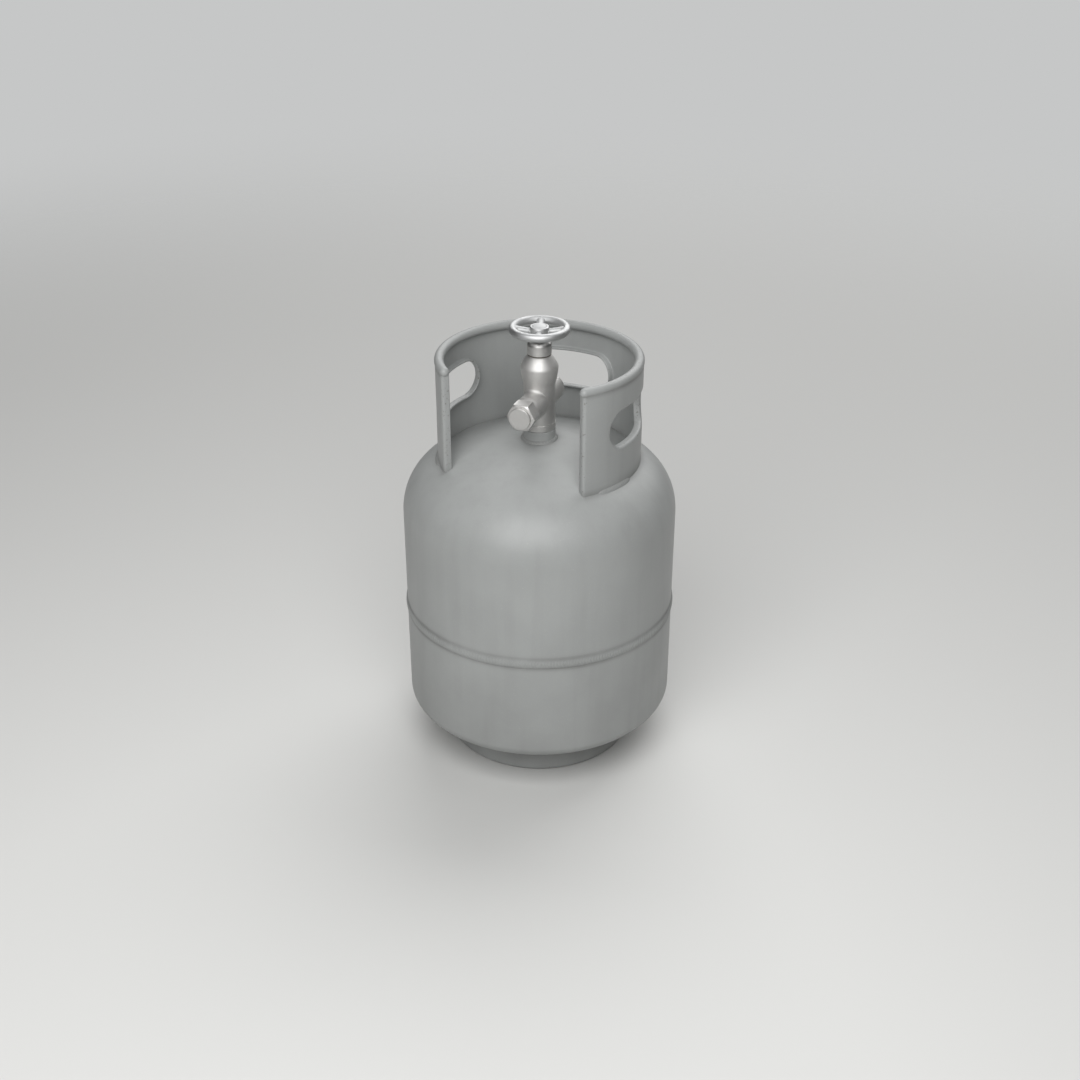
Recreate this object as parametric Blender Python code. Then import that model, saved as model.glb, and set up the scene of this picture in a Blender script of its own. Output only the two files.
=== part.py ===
"""Refillable propane tank with a foot ring, a rolled collar and a handwheel valve.

Units are metres and +Z is up. The origin is on the floor, under the tank's axis, and the
valve's outlet points along -Y. Angles round the tank are counted from the outlet, towards +X.
"""

import math

import bmesh
import bpy
from mathutils import Matrix, Vector

# Gaps between pieces
SEAT_GAP = 0.0003
RUN_GAP = 0.0003

# Pressure vessel: two pressed shells that meet at a girth seam
TANK_RADIUS = 0.152
SHELL_WALL = 0.0021
CROWN_RADIUS = 0.2797
UPPER_KNUCKLE = 0.0654
LOWER_KNUCKLE = 0.015
FLOOR_CLEARANCE = 0.0101
STRAIGHT_WALL = 0.2257
SEAM_HEIGHT = 0.1145
LIP_HEIGHT = 0.012
JOGGLE_LENGTH = 0.005
WELD_ROOT = 0.0015
WELD_WIDTH = 0.012
WELD_CROWN = 0.0013

# Foot ring
FOOT_RADIUS = 0.1068
FOOT_WALL = 0.003
FOOT_FLANGE = 0.013
FOOT_BEND = 0.0045
FOOT_FILLET = 0.005

# Collar: a rolled sheet with folded ends, flanged handholes and a round rim
COLLAR_RADIUS = 0.1114
COLLAR_WALL = 0.003
COLLAR_FOLD = 0.009
COLLAR_LIP = 0.0025
COLLAR_GAP_ANGLE = 90.0
HANDHOLE_ANGLES = (90.0, 180.0, 270.0)
HANDHOLE_LENGTH = 0.105
HANDHOLE_HEIGHT = 0.0415
HANDHOLE_RISE = 0.043
RIM_RISE = 0.1148
RIM_RADIUS = 0.0052
RIM_TIP = 0.002
STITCH_ANGLES = {"right": 68.0, "rear": 180.0, "left": 292.0}
STITCH_SPAN = 26.0
STITCH_FILLET = 0.0032

# Spud: the threaded boss in the crown
SPUD_RADIUS = 0.0177
SPUD_PROUD = 0.0118
SPUD_INSIDE = 0.012
SPUD_FILLET = 0.0028

# Valve body, heights from its flange's underside
SHANK_RADIUS = 0.013
SHANK_TAPER = 0.0008
SHANK_LENGTH = 0.030
FLANGE_RADIUS = 0.0177
FLANGE_HEIGHT = 0.0075
BARREL_RADIUS = 0.0172
BULB_FOOT = 0.0513
BULB_WIDEST = 0.0712
BULB_TOP = 0.0838
BULB_RADIUS = 0.0204
BULB_TOP_RADIUS = 0.0133
INLET_BORE = 0.006
SEAT_BORE = 0.0035
SEAT_RADIUS = 0.0052
SEAT_RISE = 0.002
SEAT_DROP = 0.006
SEAT_DEPTH = 0.014

# Cross barrel: the outlet in front, the relief valve at the rear
OUTLET_HEIGHT = 0.0322
CROSS_RADIUS = 0.0148
CROSS_FRONT = 0.0393
CROSS_CHAMFER = 0.0055
CROSS_CHAMFER_DROP = 0.0022
CROSS_REAR = 0.0389
CROSS_REAR_CHAMFER = 0.0015
SPIGOT_RADIUS = 0.0105
SPIGOT_LENGTH = 0.0107
OUTLET_BORE = 0.0065
CAP_FLATS = 0.0282
CAP_LENGTH = 0.0154
CAP_CHAMFER = 0.0012
CAP_DISC_RADIUS = 0.0120
CAP_DISC_HEIGHT = 0.0035
CAP_GASKET = 0.0015

# Relief valve, distances behind the tank's axis
RELIEF_FLOOR = 0.018
RELIEF_BORE = 0.009
RELIEF_PORT = 0.002
RELIEF_PORT_DROP = 0.028
RELIEF_SEAL_RADIUS = 0.0065
RELIEF_SEAL = 0.0025
POPPET_THICKNESS = 0.003
POPPET_STEM = 0.003
RETAINER_THICKNESS = 0.005
RETAINER_VENT = 0.0013
RETAINER_VENTS = 4
SPRING_WIRE = 0.0012
SPRING_TURNS = 4.0

# Bonnet and stem
BONNET_RADIUS = 0.0131
BONNET_HEIGHT = 0.0143
BONNET_ROUND = 0.0048
BONNET_SHANK = 0.009
BONNET_GASKET = 0.001
STEM_RADIUS = 0.005
STEM_FLANGE = 0.0032
STEM_FLANGE_RADIUS = 0.0088
LEDGE_HEIGHT = 0.0612
O_RING_WIRE = 0.0016
O_RING_SPACING = 0.005
TANG_WIDTH = 0.009
TANG_THICKNESS = 0.004
TANG_LENGTH = 0.0098
STUD_RADIUS = 0.0026

# Seat holder
HOLDER_RADIUS = 0.008
HOLDER_THREAD = 0.011
HOLDER_NOSE = 0.0062
HOLDER_NOSE_LENGTH = 0.0177
HOLDER_SLOT = 0.009
DISC_RADIUS = 0.0047
DISC_THICKNESS = 0.0029
DISC_PROUD = 0.001

# Handwheel
WHEEL_RADIUS = 0.0287
WHEEL_TUBE = 0.0043
WHEEL_TURN = 18.0
WHEEL_LIFT = 0.0028
WHEEL_RISE = 0.0101
HUB_RADIUS = 0.0105
HUB_HEIGHT = 0.0133
HUB_CHAMFER = 0.0014
HUB_POCKET = 0.0062
HUB_POCKET_RADIUS = 0.0078
CAP_RIM = 0.0009
CAP_DOME = 0.0009
SPOKE_RIM_WIDTH = 0.0086
SPOKE_RIM_HEIGHT = 0.0072
SPOKE_HUB_WIDTH = 0.0070
SPOKE_HUB_HEIGHT = 0.0060
SPOKE_HUB_DROP = 0.0025
SQUARE_SIDE = 0.007
WASHER_RADIUS = 0.0068
WASHER_THICKNESS = 0.0008
NUT_FLATS = 0.010
NUT_HEIGHT = 0.003
STUD_PAST_NUT = 0.0003

# Facets
TANK_SIDES = 40
VALVE_SIDES = 28
WHEEL_SIDES = 32
TUBE_SIDES = 10
SMALL_SIDES = 20
OVERCUT = 0.002
SHARP_ANGLE = 35.0

# Finishes: linear colour, roughness, metallic
GREY_ENAMEL = ((0.42, 0.43, 0.425), 0.42, 0.0)
NICKEL_BRASS = ((0.46, 0.46, 0.45), 0.34, 1.0)
CAST_ALLOY = ((0.40, 0.405, 0.40), 0.45, 1.0)
STAINLESS = ((0.50, 0.50, 0.50), 0.30, 1.0)
BLACK_RUBBER = ((0.02, 0.02, 0.02), 0.75, 0.0)
GREY_FIBRE = ((0.16, 0.15, 0.14), 0.85, 0.0)
WHITE_NYLON = ((0.70, 0.70, 0.66), 0.50, 0.0)

# Heights over the floor that follow from the sizes above


def head_depth(knuckle):
    """Depth of a head whose knuckle leaves the wall and meets the crown tangentially."""
    reach = CROWN_RADIUS - knuckle
    return CROWN_RADIUS - math.sqrt(reach**2 - (TANK_RADIUS - knuckle) ** 2)


def head_height(knuckle, radius):
    """Height of a head's outer face over its tangent plane, at a distance from the axis."""
    crown_centre = head_depth(knuckle) - CROWN_RADIUS
    join_angle = math.atan2(-crown_centre, TANK_RADIUS - knuckle)
    if radius <= CROWN_RADIUS * math.cos(join_angle):
        return crown_centre + math.sqrt(CROWN_RADIUS**2 - radius**2)
    return math.sqrt(knuckle**2 - (radius - TANK_RADIUS + knuckle) ** 2)


LOWER_TANGENT = FLOOR_CLEARANCE + head_depth(LOWER_KNUCKLE)
UPPER_TANGENT = LOWER_TANGENT + STRAIGHT_WALL
SEAM_Z = LOWER_TANGENT + SEAM_HEIGHT
CROWN_Z = UPPER_TANGENT + head_depth(UPPER_KNUCKLE)
SPUD_HOLE = SPUD_RADIUS + SEAT_GAP
SPUD_TOP = CROWN_Z + SPUD_PROUD
VALVE_BASE = SPUD_TOP + SEAT_GAP
OUTLET_Z = VALVE_BASE + OUTLET_HEIGHT
SEAT_Z = OUTLET_Z - SEAT_DROP
CHAMBER_RADIUS = HOLDER_RADIUS + RUN_GAP
BONNET_BORE = BONNET_SHANK + RUN_GAP
LEDGE_Z = VALVE_BASE + LEDGE_HEIGHT
BODY_TOP = VALVE_BASE + BULB_TOP
BONNET_Z = BODY_TOP + BONNET_GASKET + 2 * SEAT_GAP
BONNET_TOP = BONNET_Z + BONNET_HEIGHT
STEM_FLANGE_TOP = LEDGE_Z + SEAT_GAP + STEM_FLANGE
HUB_Z = BONNET_TOP + WHEEL_LIFT
HUB_TOP = HUB_Z + HUB_HEIGHT
POCKET_Z = HUB_TOP - HUB_POCKET
NUT_Z = POCKET_Z + WASHER_THICKNESS + 2 * SEAT_GAP
STUD_TOP = NUT_Z + NUT_HEIGHT + STUD_PAST_NUT
SPIGOT_END = CROSS_FRONT + SPIGOT_LENGTH
CAP_START = CROSS_FRONT + SEAT_GAP
CAP_FLOOR = SPIGOT_END + CAP_GASKET + 2 * SEAT_GAP


def dome_z(radius):
    """Height of the upper head's outer face over the floor."""
    return UPPER_TANGENT + head_height(UPPER_KNUCKLE, radius)


def belly_z(radius):
    """Height of the lower head's outer face over the floor."""
    return LOWER_TANGENT - head_height(LOWER_KNUCKLE, radius)


COLLAR_FOOT = dome_z(COLLAR_RADIUS) + SEAT_GAP
HANDHOLE_Z = COLLAR_FOOT + HANDHOLE_RISE + HANDHOLE_HEIGHT / 2
RIM_CENTRE = COLLAR_RADIUS - COLLAR_FOLD / 2
RIM_Z = COLLAR_FOOT + RIM_RISE


# Tools that turn outlines into named objects


def clear_scene():
    """Start from an empty scene."""
    for old in list(bpy.data.objects):
        bpy.data.objects.remove(old, do_unlink=True)


def axis_empty(name, height, turn=(0.0, 0.0, 0.0)):
    """An empty on a joint's axis, which its pieces are parented to."""
    empty = bpy.data.objects.new(name, None)
    empty.location = (0.0, 0.0, height)
    empty.rotation_euler = turn
    bpy.context.collection.objects.link(empty)
    return empty


def finish_material(name, finish):
    """A Principled material from a finish's colour, roughness and metallic value."""
    colour, roughness, metallic = finish
    material = bpy.data.materials.new(name)
    material.use_nodes = True
    shader = material.node_tree.nodes["Principled BSDF"]
    shader.inputs["Base Color"].default_value = (*colour, 1.0)
    shader.inputs["Roughness"].default_value = roughness
    shader.inputs["Metallic"].default_value = metallic
    return material


def add_piece(name, bm, finish, parent=None):
    """Turn a bmesh into a named object with outward faces and its own material."""
    bmesh.ops.recalc_face_normals(bm, faces=bm.faces)
    mesh = bpy.data.meshes.new(name)
    bm.to_mesh(mesh)
    bm.free()
    mesh.shade_smooth()
    mesh.set_sharp_from_angle(angle=math.radians(SHARP_ANGLE))
    mesh.materials.append(finish_material(f"{name}_finish", finish))
    piece = bpy.data.objects.new(name, mesh)
    piece.parent = parent
    bpy.context.collection.objects.link(piece)
    return piece


def add_tool(name, bm, parent=None):
    """A hidden body that is only joined to, or cut out of, a piece."""
    tool = add_piece(name, bm, GREY_FIBRE, parent)
    tool.hide_render = True
    tool.display_type = "WIRE"
    return tool


def combine(piece, operation, *tools):
    """Join tools to a piece (UNION) or cut them out of it (DIFFERENCE)."""
    for tool in tools:
        modifier = piece.modifiers.new(f"{operation.lower()}_{tool.name}", "BOOLEAN")
        modifier.operation = operation
        modifier.solver = "EXACT"
        modifier.object = tool


def arc(centre, radius, start, end, steps):
    """Points on an arc in the (radius, height) plane, both ends included, angles in radians."""
    angles = [start + (end - start) * i / steps for i in range(steps + 1)]
    return [
        (centre[0] + radius * math.cos(a), centre[1] + radius * math.sin(a)) for a in angles
    ]


def turned(profile, sides, base=0.0):
    """Spin an outline of (radius, height) points about Z. It is closed, or ends on the axis."""
    bm = bmesh.new()
    verts = [bm.verts.new((r, 0.0, z - base)) for r, z in profile]
    edges = [bm.edges.new(pair) for pair in zip(verts, verts[1:])]
    if profile[0][0] > 0.0:
        edges.append(bm.edges.new((verts[-1], verts[0])))
    bmesh.ops.spin(
        bm, geom=verts + edges, cent=(0, 0, 0), axis=(0, 0, 1), angle=math.tau, steps=sides,
        use_merge=True,
    )
    bmesh.ops.remove_doubles(bm, verts=bm.verts, dist=1e-6)
    return bm


def rod(radius, low, high, sides, base=0.0):
    """A round bar along Z."""
    return turned([(0.0, high), (radius, high), (radius, low), (0.0, low)], sides, base)


def lofted(sections, closed_path=False):
    """Skin a row of closed sections, each a list of as many points, and cap its two ends."""
    bm = bmesh.new()
    loops = [[bm.verts.new(point) for point in section] for section in sections]
    following = loops[1:] + loops[:1] if closed_path else loops[1:]
    for near, far in zip(loops, following):
        for i in range(len(near)):
            j = (i + 1) % len(near)
            bm.faces.new((near[i], near[j], far[j], far[i]))
    if not closed_path:
        bm.faces.new(loops[0])
        bm.faces.new(loops[-1])
    return bm


def prism(outline, low, high):
    """Extrude an outline of (x, y) points from one height to another."""
    return lofted([[(x, y, z) for x, y in outline] for z in (low, high)])


def block(size_x, size_y, low, high):
    """A box centred on the Z axis."""
    x, y = size_x / 2, size_y / 2
    return prism([(-x, -y), (x, -y), (x, y), (-x, y)], low, high)


def hexagon(across_flats):
    """Corners of a hexagon with corners at left and right."""
    corner = across_flats / math.sqrt(3.0)
    return [(corner * math.cos(i * math.pi / 3), corner * math.sin(i * math.pi / 3)) for i in range(6)]


def round_the_tank(angle, radius, height):
    """A point at an angle in degrees from the outlet, towards +X."""
    a = math.radians(angle)
    return (radius * math.sin(a), -radius * math.cos(a), height)


# Pressure vessel


def head_outline(knuckle, inset, edge_radius, knuckle_steps, crown_steps):
    """A head's face from the wall to an edge radius, as (radius, height over the tangent plane)."""
    crown_centre = head_depth(knuckle) - CROWN_RADIUS
    join = math.atan2(-crown_centre, TANK_RADIUS - knuckle)
    crown = CROWN_RADIUS - inset
    top = math.acos(edge_radius / crown)
    bend = arc((TANK_RADIUS - knuckle, 0.0), knuckle - inset, 0.0, join, knuckle_steps)
    return bend + arc((0.0, crown_centre), crown, join, top, crown_steps)[1:]


def upper_shell():
    """The upper half: a straight skirt and a domed head with a hole for the spud."""
    outer = head_outline(UPPER_KNUCKLE, 0.0, SPUD_HOLE, 6, 5)
    inner = head_outline(UPPER_KNUCKLE, SHELL_WALL, SPUD_HOLE, 3, 3)
    outer_face = [(TANK_RADIUS, SEAM_Z)] + [(r, UPPER_TANGENT + h) for r, h in outer]
    inner_face = [(TANK_RADIUS - SHELL_WALL, SEAM_Z)] + [(r, UPPER_TANGENT + h) for r, h in inner]
    return add_piece("upper_shell", turned(outer_face + inner_face[::-1], TANK_SIDES), GREY_ENAMEL)


LIP_RADIUS = TANK_RADIUS - SHELL_WALL - SEAT_GAP
JOGGLE_TOP = SEAM_Z - WELD_ROOT
JOGGLE_FOOT = JOGGLE_TOP - JOGGLE_LENGTH


def lower_shell():
    """The lower half, whose lip is joggled inwards to fit inside the upper half."""
    faces = []
    for inset, knuckle_steps, crown_steps in ((0.0, 4, 6), (SHELL_WALL, 2, 3)):
        head = head_outline(LOWER_KNUCKLE, inset, 0.0, knuckle_steps, crown_steps)
        face = [(LIP_RADIUS - inset, SEAM_Z + LIP_HEIGHT), (LIP_RADIUS - inset, JOGGLE_TOP)]
        face.append((TANK_RADIUS - inset, JOGGLE_FOOT))
        face += [(r, LOWER_TANGENT - h) for r, h in head[:-1]]
        face.append((0.0, LOWER_TANGENT - head[-1][1]))
        faces.append(face)
    outline = faces[1][::-1] + faces[0]
    return add_piece("lower_shell", turned(outline, TANK_SIDES), GREY_ENAMEL)


def girth_weld():
    """The bead that fills the groove over the joggle and stands a little proud."""
    skin = TANK_RADIUS + SEAT_GAP
    middle = (SEAM_Z + JOGGLE_FOOT) / 2
    steps = 4
    outline = []
    for i in range(steps + 1):
        across = 2.0 * i / steps - 1.0
        bulge = WELD_CROWN * (1.0 - across**2)
        outline.append((skin + bulge, middle + across * WELD_WIDTH / 2))
    root = LIP_RADIUS + SEAT_GAP
    outline += [(skin, SEAM_Z - SEAT_GAP), (root, SEAM_Z - SEAT_GAP)]
    outline += [(root, JOGGLE_TOP + 2 * SEAT_GAP), (skin, JOGGLE_FOOT + 2 * SEAT_GAP)]
    return add_piece("girth_weld", turned(outline, TANK_SIDES), GREY_ENAMEL)


def foot_ring():
    """A rolled strip under the lower head, with a flange turned inwards to stand on."""
    inside = FOOT_RADIUS - FOOT_WALL
    bend = (FOOT_RADIUS - FOOT_BEND, FOOT_BEND)
    outline = [(FOOT_RADIUS, belly_z(FOOT_RADIUS) - SEAT_GAP)]
    outline += arc(bend, FOOT_BEND, 0.0, -math.pi / 2, 3)
    outline += [(FOOT_RADIUS - FOOT_FLANGE, 0.0), (FOOT_RADIUS - FOOT_FLANGE, FOOT_WALL)]
    outline += arc(bend, FOOT_BEND - FOOT_WALL, -math.pi / 2, 0.0, 1)
    outline.append((inside, belly_z(inside) - SEAT_GAP))
    return add_piece("foot_ring", turned(outline, TANK_SIDES), GREY_ENAMEL)


def foot_ring_weld():
    """The fillet between the foot ring and the lower head."""
    root = FOOT_RADIUS + SEAT_GAP
    toe = root + FOOT_FILLET
    corner = belly_z(root) - SEAT_GAP
    outline = [(root, corner), (toe, belly_z(toe) - SEAT_GAP), (root, corner - FOOT_FILLET)]
    return add_piece("foot_ring_weld", turned(outline, TANK_SIDES), GREY_ENAMEL)


# Collar


def slot_outline(straight, radius, cap_steps=4, straight_steps=6):
    """Half outline of a full-round slot: distance along it and half height, end to end."""
    cap = [
        (straight + radius * math.cos(i * math.pi / 2 / cap_steps),
         radius * math.sin(i * math.pi / 2 / cap_steps))
        for i in range(cap_steps + 1)
    ]
    cap[0] = (cap[0][0], 0.0)
    left = [(-u, h) for u, h in cap]
    middle = [(straight * (2.0 * i / straight_steps - 1.0), radius) for i in range(1, straight_steps)]
    return left + middle + cap[::-1]


def collar_columns():
    """Uprights of the sheet, in order: outer angle, slot half height, inner angle, lip half height, hole.

    The inner face's upright stands beside the outer one wherever a lip or a folded end lies between.
    """
    degrees = math.degrees(1.0 / COLLAR_RADIUS)
    radius = HANDHOLE_HEIGHT / 2
    straight = HANDHOLE_LENGTH / 2 - radius
    start = COLLAR_GAP_ANGLE / 2
    end = 360.0 - start
    fold = COLLAR_LIP * degrees
    columns = [(start, 0.0, start + fold, 0.0, None)]
    for hole, middle in enumerate(HANDHOLE_ANGLES):
        edge = slot_outline(straight, radius)
        lip = slot_outline(straight, radius + COLLAR_LIP)
        near = columns[-1][2]
        far = middle + lip[0][0] * degrees
        columns += plain_columns(near, far)
        for (u, h), (lip_u, lip_h) in zip(edge, lip):
            columns.append((middle + u * degrees, h, middle + lip_u * degrees, lip_h, hole))
    columns += plain_columns(columns[-1][2], end - fold)
    columns.append((end, 0.0, end - fold, 0.0, None))
    return columns


def plain_columns(near, far, spacing=8.0):
    """Evenly spaced uprights between two angles, both left out."""
    count = max(1, round((far - near) / spacing))
    angles = [near + (far - near) * i / count for i in range(1, count)]
    return [(a, 0.0, a, 0.0, None) for a in angles]


def collar_sheet():
    """The rolled sheet: outer face, inner face, folded ends and lips round the handholes."""
    inner_radius = COLLAR_RADIUS - COLLAR_WALL
    fold_radius = COLLAR_RADIUS - COLLAR_FOLD
    columns = collar_columns()
    bm = bmesh.new()
    made = {}

    def corner(index, row, radius, beside):
        """One vertex: a column's foot, low edge, high edge or top, on the outer or inner upright."""
        angle, half = columns[index][2:4] if beside else columns[index][0:2]
        if row == "high" and half == 0.0:
            row = "low"
        key = (index, row, radius, beside)
        if key not in made:
            height = {
                "foot": dome_z(radius) + SEAT_GAP,
                "low": HANDHOLE_Z - half,
                "high": HANDHOLE_Z + half,
                "top": RIM_Z,
            }[row]
            made[key] = bm.verts.new(round_the_tank(angle, radius, height))
        return made[key]

    def strip(near, far, first, second):
        """Quads between two uprights or edges, each given by radius, inner or outer, and rows."""
        for row_a, row_b in (("foot", "low"), ("high", "top")):
            quad = (
                corner(near, row_a, *first), corner(far, row_a, *second),
                corner(far, row_b, *second), corner(near, row_b, *first),
            )
            bm.faces.new(quad)

    outer, inner = (COLLAR_RADIUS, False), (inner_radius, True)
    lip_edge, lip_root = (fold_radius, False), (fold_radius, True)
    for i in range(len(columns) - 1):
        strip(i, i + 1, outer, outer)
        strip(i, i + 1, inner, inner)
        for row in ("foot", "top"):
            bm.faces.new((
                corner(i, row, *outer), corner(i + 1, row, *outer),
                corner(i + 1, row, *inner), corner(i, row, *inner),
            ))
        if columns[i][4] is None or columns[i][4] != columns[i + 1][4]:
            continue
        for row in ("low", "high"):
            for first, second in ((outer, lip_edge), (lip_edge, lip_root), (lip_root, inner)):
                bm.faces.new((
                    corner(i, row, *first), corner(i + 1, row, *first),
                    corner(i + 1, row, *second), corner(i, row, *second),
                ))
    for end in (0, len(columns) - 1):
        for first, second in ((outer, lip_edge), (lip_edge, lip_root), (lip_root, inner)):
            strip(end, end, first, second)
        for row in ("foot", "top"):
            bm.faces.new([corner(end, row, *place) for place in (outer, lip_edge, lip_root, inner)])
    return bm


def rim_bar(sides=10, step=7.5):
    """The round rim: a circle carried round the collar, with rounded tips."""
    tip_steps = 3
    inset = math.degrees((RIM_RADIUS - RIM_TIP) / RIM_CENTRE)
    start = COLLAR_GAP_ANGLE / 2 + inset
    end = 360.0 - start
    count = round((end - start) / step)
    rings = []
    for i in range(tip_steps, 0, -1):
        rings.append((start, -1, i * math.pi / 2 / tip_steps))
    rings += [(start + (end - start) * i / count, 0, 0.0) for i in range(count + 1)]
    for i in range(1, tip_steps + 1):
        rings.append((end, 1, i * math.pi / 2 / tip_steps))
    sections = []
    for angle, side, tilt in rings:
        centre = Vector(round_the_tank(angle, RIM_CENTRE, RIM_Z))
        outwards = Vector(round_the_tank(angle, 1.0, 0.0))
        along = Vector(round_the_tank(angle + 90.0, 1.0, 0.0))
        size = max(RIM_RADIUS * math.cos(tilt), RIM_RADIUS / 20)
        centre += along * side * RIM_RADIUS * math.sin(tilt)
        sections.append([
            centre + size * (outwards * math.cos(a) + Vector((0, 0, 1)) * math.sin(a))
            for a in (math.tau * (k + 0.5) / sides for k in range(sides))
        ])
    return lofted(sections)


def collar():
    """The collar: the sheet with the rim joined to its top edge."""
    piece = add_piece("collar", collar_sheet(), GREY_ENAMEL)
    combine(piece, "UNION", add_tool("collar_rim_tool", rim_bar()))
    return piece


def collar_weld(side, middle, steps=6):
    """A stitch of fillet weld along the collar's foot."""
    root = COLLAR_RADIUS + SEAT_GAP
    toe = root + STITCH_FILLET
    corner = dome_z(root) + SEAT_GAP
    section = [(root, corner), (toe, dome_z(toe) + SEAT_GAP), (root, corner + STITCH_FILLET)]
    angles = [middle + STITCH_SPAN * (i / steps - 0.5) for i in range(steps + 1)]
    sections = [[round_the_tank(a, r, z) for r, z in section] for a in angles]
    return add_piece(f"collar_weld_{side}", lofted(sections), GREY_ENAMEL)


# Spud and valve body


def valve_spud():
    """The boss that is welded into the crown and takes the valve's tapered shank."""
    low = CROWN_Z - SHELL_WALL - SPUD_INSIDE
    bore = SHANK_RADIUS + RUN_GAP
    slope = SHANK_TAPER / SHANK_LENGTH
    outline = [
        (SPUD_RADIUS, SPUD_TOP), (SPUD_RADIUS, low),
        (bore - slope * (SPUD_TOP - low), low), (bore, SPUD_TOP),
    ]
    return add_piece("valve_spud", turned(outline, VALVE_SIDES), GREY_ENAMEL)


def spud_weld():
    """The fillet between the spud and the dome."""
    root = SPUD_RADIUS + SEAT_GAP
    toe = root + SPUD_FILLET
    corner = dome_z(root) + SEAT_GAP
    outline = [(root, corner), (root, corner + SPUD_FILLET), (toe, dome_z(toe) + SEAT_GAP)]
    return add_piece("spud_weld", turned(outline, VALVE_SIDES), GREY_ENAMEL)


def bulb_outline(steps=4):
    """The bulb's outer side from its top to its foot: a fall to the widest ring, then a sine swell."""
    outline = []
    for i in range(steps + 1):
        share = i / steps
        radius = BULB_TOP_RADIUS + (BULB_RADIUS - BULB_TOP_RADIUS) * (1.0 - (1.0 - share) ** 1.3)
        outline.append((radius, BODY_TOP + (BULB_WIDEST - BULB_TOP) * share))
    for i in range(steps - 1, -1, -1):
        share = i / steps
        radius = BARREL_RADIUS + (BULB_RADIUS - BARREL_RADIUS) * math.sin(share * math.pi / 2)
        outline.append((radius, VALVE_BASE + BULB_FOOT + (BULB_WIDEST - BULB_FOOT) * share))
    return outline


def body_bore():
    """What is drilled down the valve's axis: bonnet thread, chamber, seat and inlet."""
    chamber_floor = SEAT_Z - SEAT_RISE
    neck = SEAT_Z - SEAT_DEPTH
    flare = neck - (INLET_BORE - SEAT_BORE)
    bottom = VALVE_BASE - SHANK_LENGTH - OVERCUT
    outline = [
        (0.0, BODY_TOP + OVERCUT), (BONNET_BORE, BODY_TOP + OVERCUT), (BONNET_BORE, LEDGE_Z),
        (CHAMBER_RADIUS, LEDGE_Z), (CHAMBER_RADIUS, chamber_floor), (SEAT_RADIUS, chamber_floor),
        (SEAT_RADIUS, SEAT_Z), (SEAT_BORE, SEAT_Z), (SEAT_BORE, neck), (INLET_BORE, flare),
        (INLET_BORE, bottom), (0.0, bottom),
    ]
    return turned(outline, SMALL_SIDES)


def cross_barrel():
    """The cross barrel along its own axis, forwards: relief end, chamfered front and spigot."""
    rear = -CROSS_REAR
    outline = [
        (0.0, SPIGOT_END), (SPIGOT_RADIUS, SPIGOT_END), (SPIGOT_RADIUS, CROSS_FRONT),
        (CROSS_RADIUS - CROSS_CHAMFER_DROP, CROSS_FRONT), (CROSS_RADIUS, CROSS_FRONT - CROSS_CHAMFER),
        (CROSS_RADIUS, rear + CROSS_REAR_CHAMFER), (CROSS_RADIUS - CROSS_REAR_CHAMFER, rear), (0.0, rear),
    ]
    return turned(outline, VALVE_SIDES)


def relief_port():
    """The slanted drilling from the inlet, under the seat, to the relief valve's floor."""
    start = Vector((0.0, 0.0, OUTLET_Z - RELIEF_PORT_DROP))
    end = Vector((0.0, RELIEF_FLOOR + OVERCUT, OUTLET_Z))
    length = (end - start).length
    bm = rod(RELIEF_PORT, 0.0, length, 12)
    tilt = Vector((0.0, 0.0, 1.0)).rotation_difference(end - start)
    bmesh.ops.transform(bm, matrix=Matrix.Translation(start) @ tilt.to_matrix().to_4x4(), verts=bm.verts)
    return bm


def valve_body(outlet_axis, relief_axis):
    """The valve body: a turned column with a cross barrel, drilled from all four ends."""
    shank_end = VALVE_BASE - SHANK_LENGTH
    outline = [(0.0, BODY_TOP)] + bulb_outline()
    outline += [
        (BARREL_RADIUS, VALVE_BASE + FLANGE_HEIGHT), (FLANGE_RADIUS, VALVE_BASE + FLANGE_HEIGHT),
        (FLANGE_RADIUS, VALVE_BASE), (SHANK_RADIUS, VALVE_BASE),
        (SHANK_RADIUS - SHANK_TAPER, shank_end), (0.0, shank_end),
    ]
    piece = add_piece("valve_body", turned(outline, VALVE_SIDES), NICKEL_BRASS)
    combine(piece, "UNION", add_tool("cross_barrel_tool", cross_barrel(), outlet_axis))
    outlet_start = (CHAMBER_RADIUS + SEAT_RADIUS) / 2
    combine(
        piece, "DIFFERENCE",
        add_tool("body_bore_tool", body_bore()),
        add_tool(
            "outlet_bore_tool",
            rod(OUTLET_BORE, outlet_start, SPIGOT_END + OVERCUT, SMALL_SIDES), outlet_axis,
        ),
        add_tool(
            "relief_bore_tool",
            rod(RELIEF_BORE, RELIEF_FLOOR, CROSS_REAR + OVERCUT, SMALL_SIDES), relief_axis,
        ),
        add_tool("relief_port_tool", relief_port()),
    )
    return piece


# Outlet cap


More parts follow.
